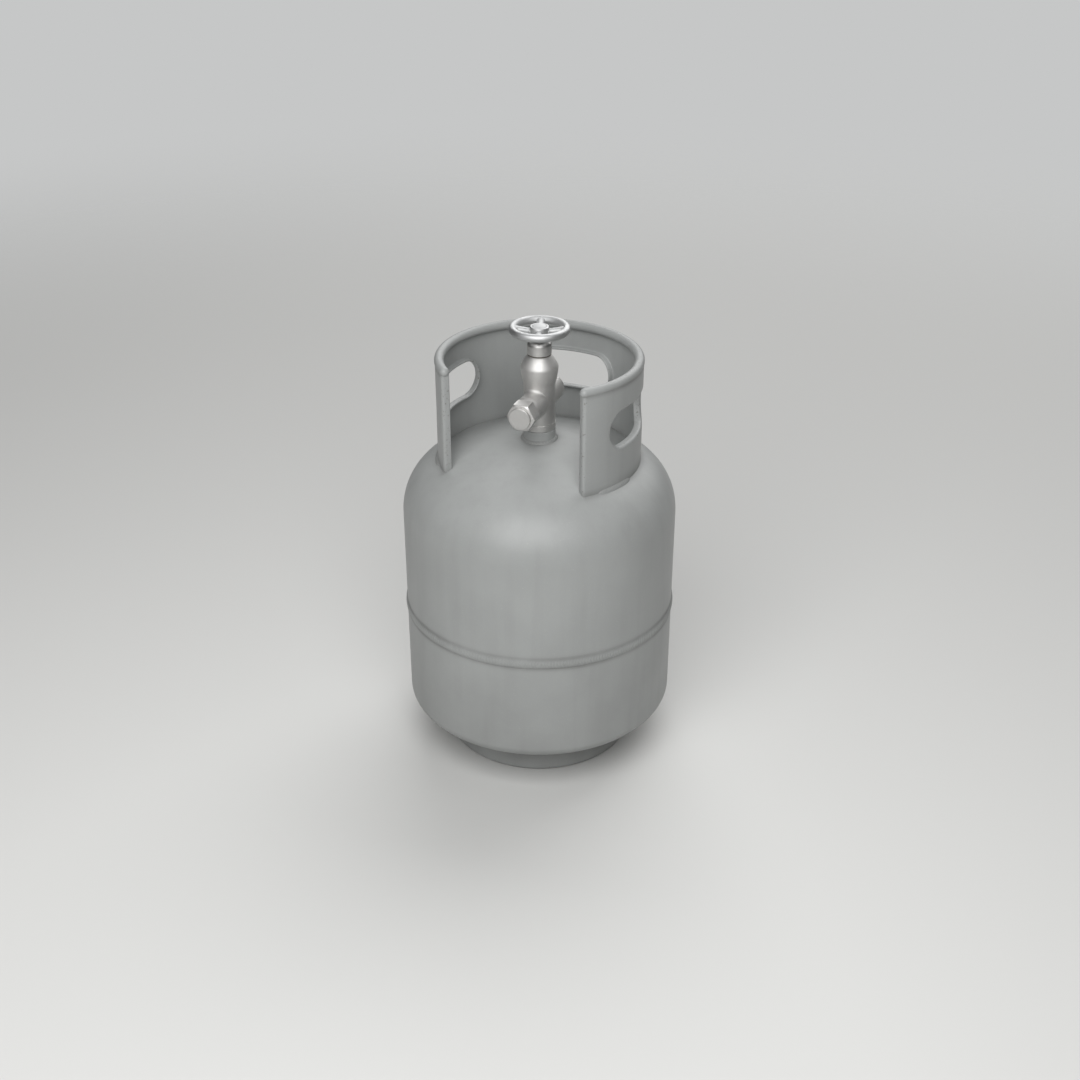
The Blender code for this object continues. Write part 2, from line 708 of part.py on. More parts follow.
def outlet_cap(axis):
    """A hexagonal cap nut with a round raised face, bored to fit over the spigot."""
    cap_end = CAP_START + CAP_LENGTH
    piece = add_piece("outlet_cap", prism(hexagon(CAP_FLATS), CAP_START, cap_end), NICKEL_BRASS, axis)
    corner = CAP_FLATS / math.sqrt(3.0)
    chamfer = turned(
        [
            (0.0, cap_end), (corner - CAP_CHAMFER, cap_end),
            (corner + OVERCUT, cap_end - CAP_CHAMFER - OVERCUT),
            (corner + OVERCUT, CAP_START - OVERCUT), (0.0, CAP_START - OVERCUT),
        ],
        VALVE_SIDES,
    )
    combine(piece, "INTERSECT", add_tool("cap_chamfer_tool", chamfer, axis))
    disc = rod(CAP_DISC_RADIUS, cap_end - OVERCUT, cap_end + CAP_DISC_HEIGHT, VALVE_SIDES)
    combine(piece, "UNION", add_tool("cap_disc_tool", disc, axis))
    bore = rod(SPIGOT_RADIUS + RUN_GAP, CAP_START - OVERCUT, CAP_FLOOR, SMALL_SIDES)
    combine(piece, "DIFFERENCE", add_tool("cap_bore_tool", bore, axis))
    return piece


def ring(name, inner, outer, low, high, finish, parent=None, base=0.0):
    """A flat ring: a washer, a gasket or a seal."""
    outline = [(outer, high), (outer, low), (inner, low), (inner, high)]
    return add_piece(name, turned(outline, SMALL_SIDES, base), finish, parent)


def cap_gasket(axis):
    """The seal between the spigot's end and the cap's floor."""
    low = SPIGOT_END + SEAT_GAP
    return ring("cap_gasket", OUTLET_BORE, SPIGOT_RADIUS, low, low + CAP_GASKET, BLACK_RUBBER, axis)


# Relief valve

SEAL_START = RELIEF_FLOOR + SEAT_GAP
POPPET_START = SEAL_START + RELIEF_SEAL + SEAT_GAP
POPPET_END = POPPET_START + POPPET_THICKNESS
RETAINER_END = CROSS_REAR - SEAT_GAP
RETAINER_START = RETAINER_END - RETAINER_THICKNESS


def relief_seal(axis):
    """The rubber disc that shuts the relief port."""
    disc = rod(RELIEF_SEAL_RADIUS, SEAL_START, SEAL_START + RELIEF_SEAL, SMALL_SIDES)
    return add_piece("relief_seal", disc, BLACK_RUBBER, axis)


def relief_poppet(axis):
    """The poppet behind the seal, with a stem that slides in the retainer."""
    radius = RELIEF_BORE - 2 * RUN_GAP
    outline = [
        (0.0, RETAINER_END), (POPPET_STEM, RETAINER_END), (POPPET_STEM, POPPET_END),
        (radius, POPPET_END), (radius, POPPET_START), (0.0, POPPET_START),
    ]
    return add_piece("relief_poppet", turned(outline, SMALL_SIDES), NICKEL_BRASS, axis)


def relief_retainer(axis):
    """The screwed ring that holds the spring in, with vent holes round its guide hole."""
    radius = RELIEF_BORE - RUN_GAP
    guide = POPPET_STEM + RUN_GAP
    outline = [
        (radius, RETAINER_END), (radius, RETAINER_START), (guide, RETAINER_START), (guide, RETAINER_END),
    ]
    piece = add_piece("relief_retainer", turned(outline, SMALL_SIDES), NICKEL_BRASS, axis)
    vent_circle = (radius + guide) / 2
    for i in range(RETAINER_VENTS):
        angle = math.tau * (i + 0.5) / RETAINER_VENTS
        bm = rod(RETAINER_VENT, RETAINER_START - OVERCUT, RETAINER_END + OVERCUT, 8)
        shift = (vent_circle * math.cos(angle), vent_circle * math.sin(angle), 0.0)
        bmesh.ops.translate(bm, vec=shift, verts=bm.verts)
        combine(piece, "DIFFERENCE", add_tool(f"vent_tool_{i}", bm, axis))
    return piece


def relief_spring(axis, points_a_turn=10):
    """The coil between poppet and retainer: a helix, one unbroken tube."""
    wire = SPRING_WIRE / 2
    radius = (RELIEF_BORE + POPPET_STEM) / 2
    low = POPPET_END + SEAT_GAP + wire
    high = RETAINER_START - SEAT_GAP - wire
    count = round(SPRING_TURNS * points_a_turn)
    points = []
    for i in range(count + 1):
        angle = math.tau * SPRING_TURNS * i / count
        height = low + (high - low) * i / count
        points.append(Vector((radius * math.cos(angle), radius * math.sin(angle), height)))
    curve = bpy.data.curves.new("relief_spring", "CURVE")
    curve.dimensions = "3D"
    curve.bevel_depth = wire
    curve.bevel_resolution = 1
    curve.use_fill_caps = True
    spline = curve.splines.new("POLY")
    spline.points.add(len(points) - 1)
    for slot, point in zip(spline.points, points):
        slot.co = (*point, 1.0)
    curve.materials.append(finish_material("relief_spring_finish", STAINLESS))
    piece = bpy.data.objects.new("relief_spring", curve)
    piece.parent = axis
    bpy.context.collection.objects.link(piece)
    half_turn = points_a_turn // 2
    least = min(
        (points[i] - points[j]).length
        for i in range(len(points)) for j in range(i + half_turn, len(points))
    )
    print(f"relief_spring: least gap to itself {(least - SPRING_WIRE) * 1000:.2f} mm")
    return piece


# Bonnet, stem and seat


def bonnet():
    """The round neck that screws into the bulb and holds the stem."""
    crown = (BONNET_RADIUS - BONNET_ROUND, BONNET_TOP - BONNET_ROUND)
    bore = STEM_RADIUS + RUN_GAP
    shank_end = STEM_FLANGE_TOP + SEAT_GAP
    outline = [(bore, BONNET_TOP)] + arc(crown, BONNET_ROUND, math.pi / 2, 0.0, 4)
    outline += [(BONNET_RADIUS, BONNET_Z), (BONNET_SHANK, BONNET_Z)]
    outline += [(BONNET_SHANK, shank_end), (bore, shank_end)]
    return add_piece("bonnet", turned(outline, VALVE_SIDES), NICKEL_BRASS)


def bonnet_gasket():
    """The ring between the bonnet and the valve body."""
    low = BODY_TOP + SEAT_GAP
    return ring(
        "bonnet_gasket", BONNET_BORE, BULB_TOP_RADIUS - 2 * SEAT_GAP, low, low + BONNET_GASKET, GREY_FIBRE
    )


O_RING_MIDDLE = (STEM_FLANGE_TOP + BONNET_TOP) / 2
O_RING_HEIGHTS = {
    "lower": O_RING_MIDDLE - O_RING_SPACING / 2,
    "upper": O_RING_MIDDLE + O_RING_SPACING / 2,
}


def stem(axis):
    """The stem: tang, thrust flange, journal with two grooves, square and stud."""
    groove = STEM_RADIUS - O_RING_WIRE - SEAT_GAP
    half = O_RING_WIRE / 2 + SEAT_GAP
    flange_low = LEDGE_Z + SEAT_GAP
    outline = [(0.0, STUD_TOP), (STUD_RADIUS, STUD_TOP), (STUD_RADIUS, HUB_Z), (STEM_RADIUS, HUB_Z)]
    for middle in sorted(O_RING_HEIGHTS.values(), reverse=True):
        outline += [
            (STEM_RADIUS, middle + half), (groove, middle + half),
            (groove, middle - half), (STEM_RADIUS, middle - half),
        ]
    outline += [
        (STEM_RADIUS, STEM_FLANGE_TOP), (STEM_FLANGE_RADIUS, STEM_FLANGE_TOP),
        (STEM_FLANGE_RADIUS, flange_low), (0.0, flange_low),
    ]
    piece = add_piece("stem", turned(outline, SMALL_SIDES, HUB_Z), STAINLESS, axis)
    square = block(SQUARE_SIDE, SQUARE_SIDE, -OVERCUT, POCKET_Z - SEAT_GAP - HUB_Z)
    tang_top = STEM_FLANGE_TOP - STEM_FLANGE / 2 - HUB_Z
    tang = block(TANG_WIDTH, TANG_THICKNESS, flange_low - TANG_LENGTH - HUB_Z, tang_top)
    combine(
        piece, "UNION", add_tool("stem_square_tool", square, axis), add_tool("stem_tang_tool", tang, axis)
    )
    return piece


def stem_o_ring(place, height, axis, sides=6):
    """A rubber ring in a groove of the stem."""
    wire = O_RING_WIRE / 2
    outline = arc((STEM_RADIUS - wire, height), wire, 0.0, math.tau * (sides - 1) / sides, sides - 1)
    return add_piece(f"stem_o_ring_{place}", turned(outline, SMALL_SIDES, HUB_Z), BLACK_RUBBER, axis)


NOSE_END = SEAT_Z + SEAT_GAP + DISC_PROUD
HOLDER_TOP = NOSE_END + HOLDER_NOSE_LENGTH + HOLDER_THREAD


def seat_holder(axis):
    """The threaded plug under the stem: a slot for the tang, a nose with a pocket for the disc."""
    pocket = DISC_RADIUS + SEAT_GAP
    pocket_floor = NOSE_END + DISC_THICKNESS - DISC_PROUD + SEAT_GAP
    shoulder = NOSE_END + HOLDER_NOSE_LENGTH
    outline = [
        (0.0, HOLDER_TOP), (HOLDER_RADIUS, HOLDER_TOP), (HOLDER_RADIUS, shoulder), (HOLDER_NOSE, shoulder),
        (HOLDER_NOSE, NOSE_END), (pocket, NOSE_END), (pocket, pocket_floor), (0.0, pocket_floor),
    ]
    piece = add_piece("seat_holder", turned(outline, SMALL_SIDES, HUB_Z), NICKEL_BRASS, axis)
    slot = block(
        3 * HOLDER_RADIUS, TANG_THICKNESS + 2 * RUN_GAP,
        HOLDER_TOP - HOLDER_SLOT - HUB_Z, HOLDER_TOP + OVERCUT - HUB_Z,
    )
    combine(piece, "DIFFERENCE", add_tool("holder_slot_tool", slot, axis))
    return piece


def seat_disc(axis):
    """The soft disc in the holder's nose that closes the seat."""
    low = SEAT_Z + SEAT_GAP
    disc = turned(
        [(0.0, low + DISC_THICKNESS), (DISC_RADIUS, low + DISC_THICKNESS), (DISC_RADIUS, low), (0.0, low)],
        SMALL_SIDES, HUB_Z,
    )
    return add_piece("seat_disc", disc, WHITE_NYLON, axis)


# Handwheel


def spoke_section(along, width, height, middle, steps=4):
    """Section of a spoke: a flat underside, upright sides and half an ellipse on top."""
    half = height / 2
    section = [(along, width / 2, middle - half)]
    for i in range(steps + 1):
        angle = math.pi * i / steps
        section.append((along, width / 2 * math.cos(angle), middle + half * math.sin(angle)))
    section.append((along, -width / 2, middle - half))
    return section


def spoke_bar(turn):
    """A pair of spokes in one bar, wide and high at the rim, narrow and lower at the hub."""
    rim_end = (SPOKE_RIM_WIDTH, SPOKE_RIM_HEIGHT, WHEEL_RISE)
    hub_end = (SPOKE_HUB_WIDTH, SPOKE_HUB_HEIGHT, WHEEL_RISE - SPOKE_HUB_DROP)
    stations = (
        (-WHEEL_RADIUS, *rim_end), (-HUB_RADIUS, *hub_end), (HUB_RADIUS, *hub_end), (WHEEL_RADIUS, *rim_end),
    )
    bm = lofted([spoke_section(*station) for station in stations])
    bmesh.ops.rotate(bm, cent=(0, 0, 0), matrix=Matrix.Rotation(turn, 3, "Z"), verts=bm.verts)
    return bm


def handwheel(axis):
    """The wheel: a round rim, four spokes and a hub with a square hole and a pocket for the nut."""
    facet = math.tau / TUBE_SIDES
    section = arc((WHEEL_RADIUS, WHEEL_RISE), WHEEL_TUBE, facet / 2, math.tau - facet / 2, TUBE_SIDES - 1)
    piece = add_piece("handwheel", turned(section, WHEEL_SIDES), CAST_ALLOY, axis)
    hub = turned(
        [
            (0.0, HUB_HEIGHT), (HUB_RADIUS - HUB_CHAMFER, HUB_HEIGHT),
            (HUB_RADIUS, HUB_HEIGHT - HUB_CHAMFER), (HUB_RADIUS, 0.0), (0.0, 0.0),
        ],
        VALVE_SIDES,
    )
    square_turn = math.radians(WHEEL_TURN)
    combine(
        piece, "UNION",
        add_tool("spoke_tool_a", spoke_bar(square_turn), axis),
        add_tool("spoke_tool_b", spoke_bar(square_turn + math.pi / 2), axis),
        add_tool("hub_tool", hub, axis),
    )
    hole = SQUARE_SIDE + 2 * RUN_GAP
    pocket = rod(HUB_POCKET_RADIUS, HUB_HEIGHT - HUB_POCKET, HUB_HEIGHT + OVERCUT, SMALL_SIDES)
    combine(
        piece, "DIFFERENCE",
        add_tool("hub_square_tool", block(hole, hole, -OVERCUT, HUB_HEIGHT), axis),
        add_tool("hub_pocket_tool", pocket, axis),
    )
    return piece


def wheel_washer(axis):
    """The washer in the hub's pocket."""
    low = POCKET_Z + SEAT_GAP
    return ring(
        "wheel_washer", STUD_RADIUS + RUN_GAP, WASHER_RADIUS, low, low + WASHER_THICKNESS, STAINLESS,
        axis, HUB_Z,
    )


def wheel_nut(axis):
    """The hexagonal nut that holds the wheel on the stem."""
    low = NUT_Z - HUB_Z
    piece = add_piece("wheel_nut", prism(hexagon(NUT_FLATS), low, low + NUT_HEIGHT), STAINLESS, axis)
    hole = rod(STUD_RADIUS + RUN_GAP, low - OVERCUT, low + NUT_HEIGHT + OVERCUT, SMALL_SIDES)
    combine(piece, "DIFFERENCE", add_tool("nut_hole_tool", hole, axis))
    return piece


def wheel_cap(axis):
    """The domed plug that closes the hub's pocket over the nut."""
    radius = HUB_POCKET_RADIUS - SEAT_GAP
    sphere = (radius**2 + CAP_DOME**2) / (2 * CAP_DOME)
    edge = math.asin(radius / sphere)
    dome = arc((0.0, HUB_HEIGHT + CAP_DOME - sphere), sphere, math.pi / 2, math.pi / 2 - edge, 3)
    low = HUB_HEIGHT - CAP_RIM
    outline = [(0.0, dome[0][1])] + dome[1:] + [(radius, low), (0.0, low)]
    return add_piece("wheel_cap", turned(outline, SMALL_SIDES), CAST_ALLOY, axis)


def main():
    """Build every piece of the tank."""
    clear_scene()
    outlet_axis = axis_empty("outlet_axis", OUTLET_Z, (math.pi / 2, 0.0, 0.0))
    relief_axis = axis_empty("relief_axis", OUTLET_Z, (-math.pi / 2, 0.0, 0.0))
    wheel_axis = axis_empty("wheel_axis", HUB_Z)

    upper_shell()
    lower_shell()
    girth_weld()
    foot_ring()
    foot_ring_weld()
    collar()
    for side, middle in STITCH_ANGLES.items():
        collar_weld(side, middle)
    valve_spud()
    spud_weld()

    valve_body(outlet_axis, relief_axis)
    bonnet()
    bonnet_gasket()
    outlet_cap(outlet_axis)
    cap_gasket(outlet_axis)
    relief_seal(relief_axis)
    relief_poppet(relief_axis)
    relief_spring(relief_axis)
    relief_retainer(relief_axis)

    stem(wheel_axis)
    for place, height in O_RING_HEIGHTS.items():
        stem_o_ring(place, height, wheel_axis)
    seat_holder(wheel_axis)
    seat_disc(wheel_axis)
    handwheel(wheel_axis)
    wheel_washer(wheel_axis)
    wheel_nut(wheel_axis)
    wheel_cap(wheel_axis)


main()
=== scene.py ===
# %% [markdown]
# # A refillable propane tank
#
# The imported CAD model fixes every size, place and joint. This script dresses it: each solid that shows
# is replaced by a finer numpy surface of the same size, and every piece gets a procedural finish. The
# tank stands at the origin, +Z is up, and the valve's outlet points along -Y.

import math

import bmesh
import bpy
import numpy as np
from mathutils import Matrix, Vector


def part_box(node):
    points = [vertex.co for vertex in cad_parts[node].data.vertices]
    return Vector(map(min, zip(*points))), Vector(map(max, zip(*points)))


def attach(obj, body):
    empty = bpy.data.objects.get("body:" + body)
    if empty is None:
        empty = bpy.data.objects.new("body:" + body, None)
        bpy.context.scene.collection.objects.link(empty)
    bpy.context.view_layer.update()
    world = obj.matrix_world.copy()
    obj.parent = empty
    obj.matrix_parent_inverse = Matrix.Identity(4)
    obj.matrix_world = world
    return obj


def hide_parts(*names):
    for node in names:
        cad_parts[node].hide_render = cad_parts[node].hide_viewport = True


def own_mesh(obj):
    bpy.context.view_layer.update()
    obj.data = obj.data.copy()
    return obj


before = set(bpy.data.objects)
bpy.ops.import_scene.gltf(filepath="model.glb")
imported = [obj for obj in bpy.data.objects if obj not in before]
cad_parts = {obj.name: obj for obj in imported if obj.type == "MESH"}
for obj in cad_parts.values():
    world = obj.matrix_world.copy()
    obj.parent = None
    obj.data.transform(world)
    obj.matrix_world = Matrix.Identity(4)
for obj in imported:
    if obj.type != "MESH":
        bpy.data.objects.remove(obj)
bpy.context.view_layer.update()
MM = 0.001

# %% [markdown]
# ## Sizes
#
# Overall sizes are read off the frame's solids, so that the surfaces follow the CAD model. What a box
# cannot tell, such as the radius of a pressed head, is a named value in millimetres.

# %% Sizes of the pressure vessel


def low(node):
    """Lowest corner of a CAD solid."""
    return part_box(node)[0]


def high(node):
    """Highest corner of a CAD solid."""
    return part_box(node)[1]


GAP = 0.3 * MM
TANK_RADIUS = high("upper_shell").x
SHELL_WALL = 2.1 * MM
CROWN_RADIUS = 279.7 * MM
UPPER_KNUCKLE = 65.4 * MM
LOWER_KNUCKLE = 15.0 * MM
SEAM_Z = low("upper_shell").z
SPUD_RADIUS = high("valve_spud").x
SPUD_HOLE = SPUD_RADIUS + GAP


def head_depth(knuckle):
    """Depth of a pressed head, whose knuckle meets wall and crown tangentially."""
    reach = CROWN_RADIUS - knuckle
    return CROWN_RADIUS - math.sqrt(reach**2 - (TANK_RADIUS - knuckle) ** 2)


def head_height(knuckle, radius):
    """Height of a head's face over its tangent plane: a sphere inside the join, a torus outside."""
    radius = np.asarray(radius, float)
    crown_centre = head_depth(knuckle) - CROWN_RADIUS
    join = CROWN_RADIUS * math.cos(math.atan2(-crown_centre, TANK_RADIUS - knuckle))
    crown = crown_centre + np.sqrt(np.clip(CROWN_RADIUS**2 - radius**2, 0, None))
    bend = np.sqrt(np.clip(knuckle**2 - (radius - TANK_RADIUS + knuckle) ** 2, 0, None))
    return np.where(radius <= join, crown, bend)


LOWER_TANGENT = low("lower_shell").z + head_depth(LOWER_KNUCKLE)
UPPER_TANGENT = high("upper_shell").z - float(head_height(UPPER_KNUCKLE, SPUD_HOLE))


def dome_z(radius):
    """Height of the upper head."""
    return UPPER_TANGENT + head_height(UPPER_KNUCKLE, radius)


def belly_z(radius):
    """Height of the lower head."""
    return LOWER_TANGENT - head_height(LOWER_KNUCKLE, radius)


print(f"wall from {LOWER_TANGENT / MM:.1f} to {UPPER_TANGENT / MM:.1f} mm, seam at {SEAM_Z / MM:.1f} mm")

# %% [markdown]
# ## Camera
#
# The picture was taken from a little above, with a mild telephoto lens. A camera could be placed by eye.
# This one was fitted to the tank's outlines, so model and picture can be compared edge by edge.

# %% Camera
CAMERA_AZIMUTH = math.radians(21.41)
CAMERA_ELEVATION = math.radians(28.65)
CAMERA_DISTANCE = 1.687
CAMERA_LENS, SENSOR_WIDTH = 49.5, 36.0
TARGET_HEIGHT = 0.2436
TARGET_RIGHT = 0.6 * MM


def from_angles(azimuth, elevation, distance):
    """A point on a sphere: azimuth 0 is in front of the outlet, elevation over the horizon."""
    flat = distance * math.cos(elevation)
    return Vector((flat * math.sin(azimuth), -flat * math.cos(azimuth), distance * math.sin(elevation)))


def look_at(thing, target):
    """Turn a camera or a lamp towards a point."""
    thing.rotation_euler = (target - thing.location).to_track_quat("-Z", "Y").to_euler()


def in_scene(name, data):
    """A new object in the scene."""
    thing = bpy.data.objects.new(name, data)
    bpy.context.scene.collection.objects.link(thing)
    return thing


camera = in_scene("camera", bpy.data.cameras.new("camera"))
camera.data.lens = CAMERA_LENS
camera.data.sensor_width = SENSOR_WIDTH
to_the_right = Vector((math.cos(CAMERA_AZIMUTH), math.sin(CAMERA_AZIMUTH), 0.0))
camera_target = Vector((0.0, 0.0, TARGET_HEIGHT)) + TARGET_RIGHT * to_the_right
camera.location = camera_target + from_angles(CAMERA_AZIMUTH, CAMERA_ELEVATION, CAMERA_DISTANCE)
look_at(camera, camera_target)
bpy.context.scene.camera = camera
print("camera at", [round(v, 3) for v in camera.location])

# %% [markdown]
# ## Tools for surfaces
#
# A surface could be modelled by hand. Here it is a grid of points from a formula, so the whole form
# follows from a few sizes. A piece is one or more grids, welded where their borders meet. Each point
# also carries wear, which is 1 on edges that hands and floors rub, and a share of corner darkening,
# which is 1 in corners: partly the dust that rain leaves there, partly painted shade.

# %% Corners that keep dirt and painted shade
FOOT_RADIUS = high("foot_ring").x
COLLAR_RADIUS = 111.4 * MM
COLLAR_WALL = 3.0 * MM
COLLAR_HALF_GAP = math.radians(45.0)
BEAD_LOW, BEAD_HIGH = low("girth_weld").z, high("girth_weld").z
RIM_OVERHANG = 8.0 * MM
UNDER_THE_RIM = high("collar").z - RIM_OVERHANG
WIDE, NARROW = 5.0 * MM, 2.5 * MM
# Darkening round these rings is partly dirt and partly painted shade. The thin rings at the bead's toes and
# the ring under the rim paint shade into the creases there.
CORNER_RINGS = (
    (TANK_RADIUS, BEAD_LOW, 0.0, NARROW), (TANK_RADIUS, BEAD_HIGH, 0.0, NARROW),
    (FOOT_RADIUS, float(belly_z(FOOT_RADIUS)), 0.0, WIDE),
    (SPUD_RADIUS, float(dome_z(SPUD_RADIUS)), 0.0, WIDE),
    (COLLAR_RADIUS - COLLAR_WALL / 2, float(dome_z(COLLAR_RADIUS)), COLLAR_HALF_GAP, WIDE),
    (COLLAR_RADIUS, UNDER_THE_RIM, COLLAR_HALF_GAP, NARROW),
)


def sheltered(points):
    """How far a point lies in a corner: exp(-(d / reach)^2) at distance d from the nearest ring."""
    x, y, z = np.moveaxis(points, -1, 0)
    r, angle = np.hypot(x, y), np.abs(np.arctan2(x, -y))
    share = np.zeros(len(points))
    for ring_r, ring_z, open_angle, reach in CORNER_RINGS:
        distance = np.hypot(r - ring_r, z - ring_z)
        share = np.maximum(share, np.exp(-((distance / reach) ** 2)) * (angle >= open_angle))
    return share


print(len(CORNER_RINGS), "corners keep dirt")

# %% Grids into pieces
WELD_DISTANCE = 0.002 * MM
SHARP_ANGLE = math.radians(40.0)


def grid(points, wear=0.0, ring=False, around=False):
    """A patch of rows x columns. ring joins the last row to the first, around the last column."""
    points = np.asarray(points, float)
    return {"points": points, "wear": np.broadcast_to(wear, points.shape[:2]), "ring": ring, "around": around}


def quads(patch, start):
    """Corner numbers of a patch's quads: (i, j), (i, j+1), (i+1, j+1), (i+1, j)."""
    row_count, columns = patch["points"].shape[:2]
    i, j = np.meshgrid(
        np.arange(row_count if patch["ring"] else row_count - 1),
        np.arange(columns if patch["around"] else columns - 1), indexing="ij",
    )
    below, beside = (i + 1) % row_count, (j + 1) % columns
    corners = [i * columns + j, i * columns + beside, below * columns + beside, below * columns + j]
    return start + np.stack(corners, -1).reshape(-1, 4)


def make_piece(name, patches, finish, body, node):
    """Weld patches into one mesh with a finish, which rides on a body and replaces a CAD node."""
    starts = np.cumsum([0] + [p["wear"].size for p in patches])
    points = np.concatenate([p["points"].reshape(-1, 3) for p in patches])
    wear = np.concatenate([p["wear"].reshape(-1) for p in patches])
    faces = np.concatenate([quads(p, start) for p, start in zip(patches, starts)])
    mesh = bpy.data.meshes.new(name)
    mesh.from_pydata(points.tolist(), [], faces.tolist())
    for attribute, values in (("wear", wear), ("corner_dirt_and_shade", sheltered(points))):
        mesh.attributes.new(attribute, "FLOAT", "POINT").data.foreach_set("value", values.astype(np.float32))
    bm = bmesh.new()
    bm.from_mesh(mesh)
    bmesh.ops.remove_doubles(bm, verts=bm.verts, dist=WELD_DISTANCE)
    bmesh.ops.recalc_face_normals(bm, faces=bm.faces)
    open_edges = sum(not edge.is_manifold for edge in bm.edges)
    bm.to_mesh(mesh)
    bm.free()
    mesh.shade_smooth()
    mesh.set_sharp_from_angle(angle=SHARP_ANGLE)
    mesh.materials.append(finish)
    piece = in_scene(name, mesh)
    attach(piece, body)
    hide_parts(node)
    print(f"{name}: {len(mesh.polygons)} faces, {open_edges} open edges")
    return piece


print(f"points within {WELD_DISTANCE / MM:.3f} mm are welded")

# %% Profiles and turned forms
TANK_SIDES = 240
VALVE_SIDES = 120
# Wear fades within a millimetre of an arc, or within a third of a shorter side.
WEAR_FADE, FADE_PARTS = 1.0 * MM, 3
LEAST_ANGLE = 0.01


def full_turn(count):
    """Angles of a full turn, without the last."""
    return np.linspace(0, 2 * np.pi, count, endpoint=False)


def cylinder(r, a, z):
    """Points (r sin a, -r cos a, z), so that a = 0 faces the outlet."""
    return np.stack(np.broadcast_arrays(r * np.sin(a), -r * np.cos(a), z), -1)


def arc(centre, radius, start, end, steps):
    """Points (r, z, wear 0) on an arc: centre + radius (cos a, sin a)."""
    a = np.linspace(start, end, steps + 1)
    return np.stack([centre[0] + radius * np.cos(a), centre[1] + radius * np.sin(a), 0 * a], -1)


def unit(vectors):
    """Vectors of length one."""
    return vectors / np.linalg.norm(vectors, axis=-1, keepdims=True)


def rounded(corners, steps=5):
    """A profile from corners (r, z, radius): each corner becomes an arc that touches both its sides.

    With half the corner's angle h, the arc starts radius / tan h before the corner, and its centre lies
    radius / sin h away on the bisector. Arcs get wear 1, and a point beside each end brings it back to 0.
    """
    corners = np.asarray(corners, float)
    here, radius = corners[:, :2], corners[:, 2]
    before, after = np.roll(here, 1, 0) - here, np.roll(here, -1, 0) - here
    side = np.linalg.norm(after, axis=1)
    before, after = unit(before), unit(after)
    half = np.arccos(np.clip((before * after).sum(1), -1, 1)) / 2
    reach = np.where(radius > 0, radius / np.tan(np.maximum(half, LEAST_ANGLE)), 0.0)
    fade = np.clip((side - reach - np.roll(reach, -1)) / FADE_PARTS, 0, WEAR_FADE)
    profile = []
    for i in range(len(corners)):
        if radius[i] == 0.0:
            profile.append([[*here[i], 0.0]])
            continue
        bisector = unit(before[i] + after[i])
        across = unit(after[i] - before[i])
        turn = np.linspace(-1, 1, steps + 1)[:, None] * (math.pi / 2 - half[i])
        centre = here[i] + bisector * radius[i] / math.sin(half[i])
        points = centre + radius[i] * (across * np.sin(turn) - bisector * np.cos(turn))
        first = here[i] + before[i] * (reach[i] + fade[i - 1])
        last = here[i] + after[i] * (reach[i] + fade[i])
        profile += [[[*first, 0.0]], np.column_stack([points, np.ones(steps + 1)]), [[*last, 0.0]]]
    return np.concatenate(profile)


def rows(profile, a):
    """Radius, height and wear of a profile, the same at every angle."""
    return [np.asarray(profile, float)[:, k : k + 1] + 0 * a for k in range(3)]


def spun(sections, a, ring=False):
    """Sections of rows, one after the other, about Z: (r cos a, r sin a, z)."""
    r, z, wear = (np.concatenate(part) for part in zip(*sections))
    return grid(np.stack([r * np.cos(a), r * np.sin(a), z], -1), wear, ring=ring, around=True)


def turned(profile, sides=VALVE_SIDES, ring=True):
    """Spin one profile of (r, z, wear) about Z."""
    a = full_turn(sides)
    return spun([rows(profile, a)], a, ring)


def laid(patch, direction, height):
    """Lay a form that was turned about Z along -Y (direction -1) or +Y (+1), at a height."""
    x, y, z = np.moveaxis(patch["points"], -1, 0)
    return {**patch, "points": np.stack([x, direction * z, height - direction * y], -1)}


print("sides of a turned ring:", TANK_SIDES, "and", VALVE_SIDES)

# %% [markdown]
# ## Finishes
#
# Tank, collar and foot ring are steel under light grey enamel, the valve is forged brass with a satin
# nickel plate, the handwheel a light alloy casting. Each finish starts from the real material, and its
# patterns have real sizes in millimetres.

# %% Nodes and colours
# Sockets that share a name go by number. Mix: 0 share, 6 and 7 colours. Map Range: 0 value, 1 and 2 the
# range it comes from, 3 and 4 the range it goes to.
RGBA = {"output": 2, "data_type": "RGBA"}
MULTIPLY_ADD = {"operation": "MULTIPLY_ADD"}


def linear(colour):
    """An sRGB hex colour as linear red, green, blue and alpha."""
    srgb = np.array([int(colour[i : i + 2], 16) for i in (1, 3, 5)]) / 255.0
    rgb = np.where(srgb <= 0.04045, srgb / 12.92, ((srgb + 0.055) / 1.055) ** 2.4)
    return (*rgb.tolist(), 1.0)


def fill(tree, node, values, links):
    """Set a node's input values, and link outputs to its other inputs."""
    for key, value in (values or {}).items():
        node.inputs[key].default_value = value
    for key, source in (links or {}).items():
        tree.links.new(source, node.inputs[key])


def add(tree, kind, values=None, links=None, output=0, **settings):
    """Add a node with its settings, input values and links; give back one of its outputs."""
    node = tree.nodes.new("ShaderNode" + kind)
    for key, value in settings.items():
        setattr(node, key, value)
    fill(tree, node, values, links)
    return node.outputs[output]


def new_finish(name):
    """A new material, its node tree and the piece's own coordinates."""
    material = bpy.data.materials.new(name)
    material.use_nodes = True
    return material, material.node_tree, add(material.node_tree, "TexCoord", output="Object")


def complete(material, values, links):
    """Set what is the same all over on the shader's own sockets, and link what varies."""
    fill(material.node_tree, material.node_tree.nodes["Principled BSDF"], values, links)
    print(material.name, "made")
    return material


def per_metre(size_mm):
    """Texture scale for features of that many millimetres."""
    return 1000.0 / size_mm


print("mid grey in linear light:", round(linear("#808080")[0], 3))
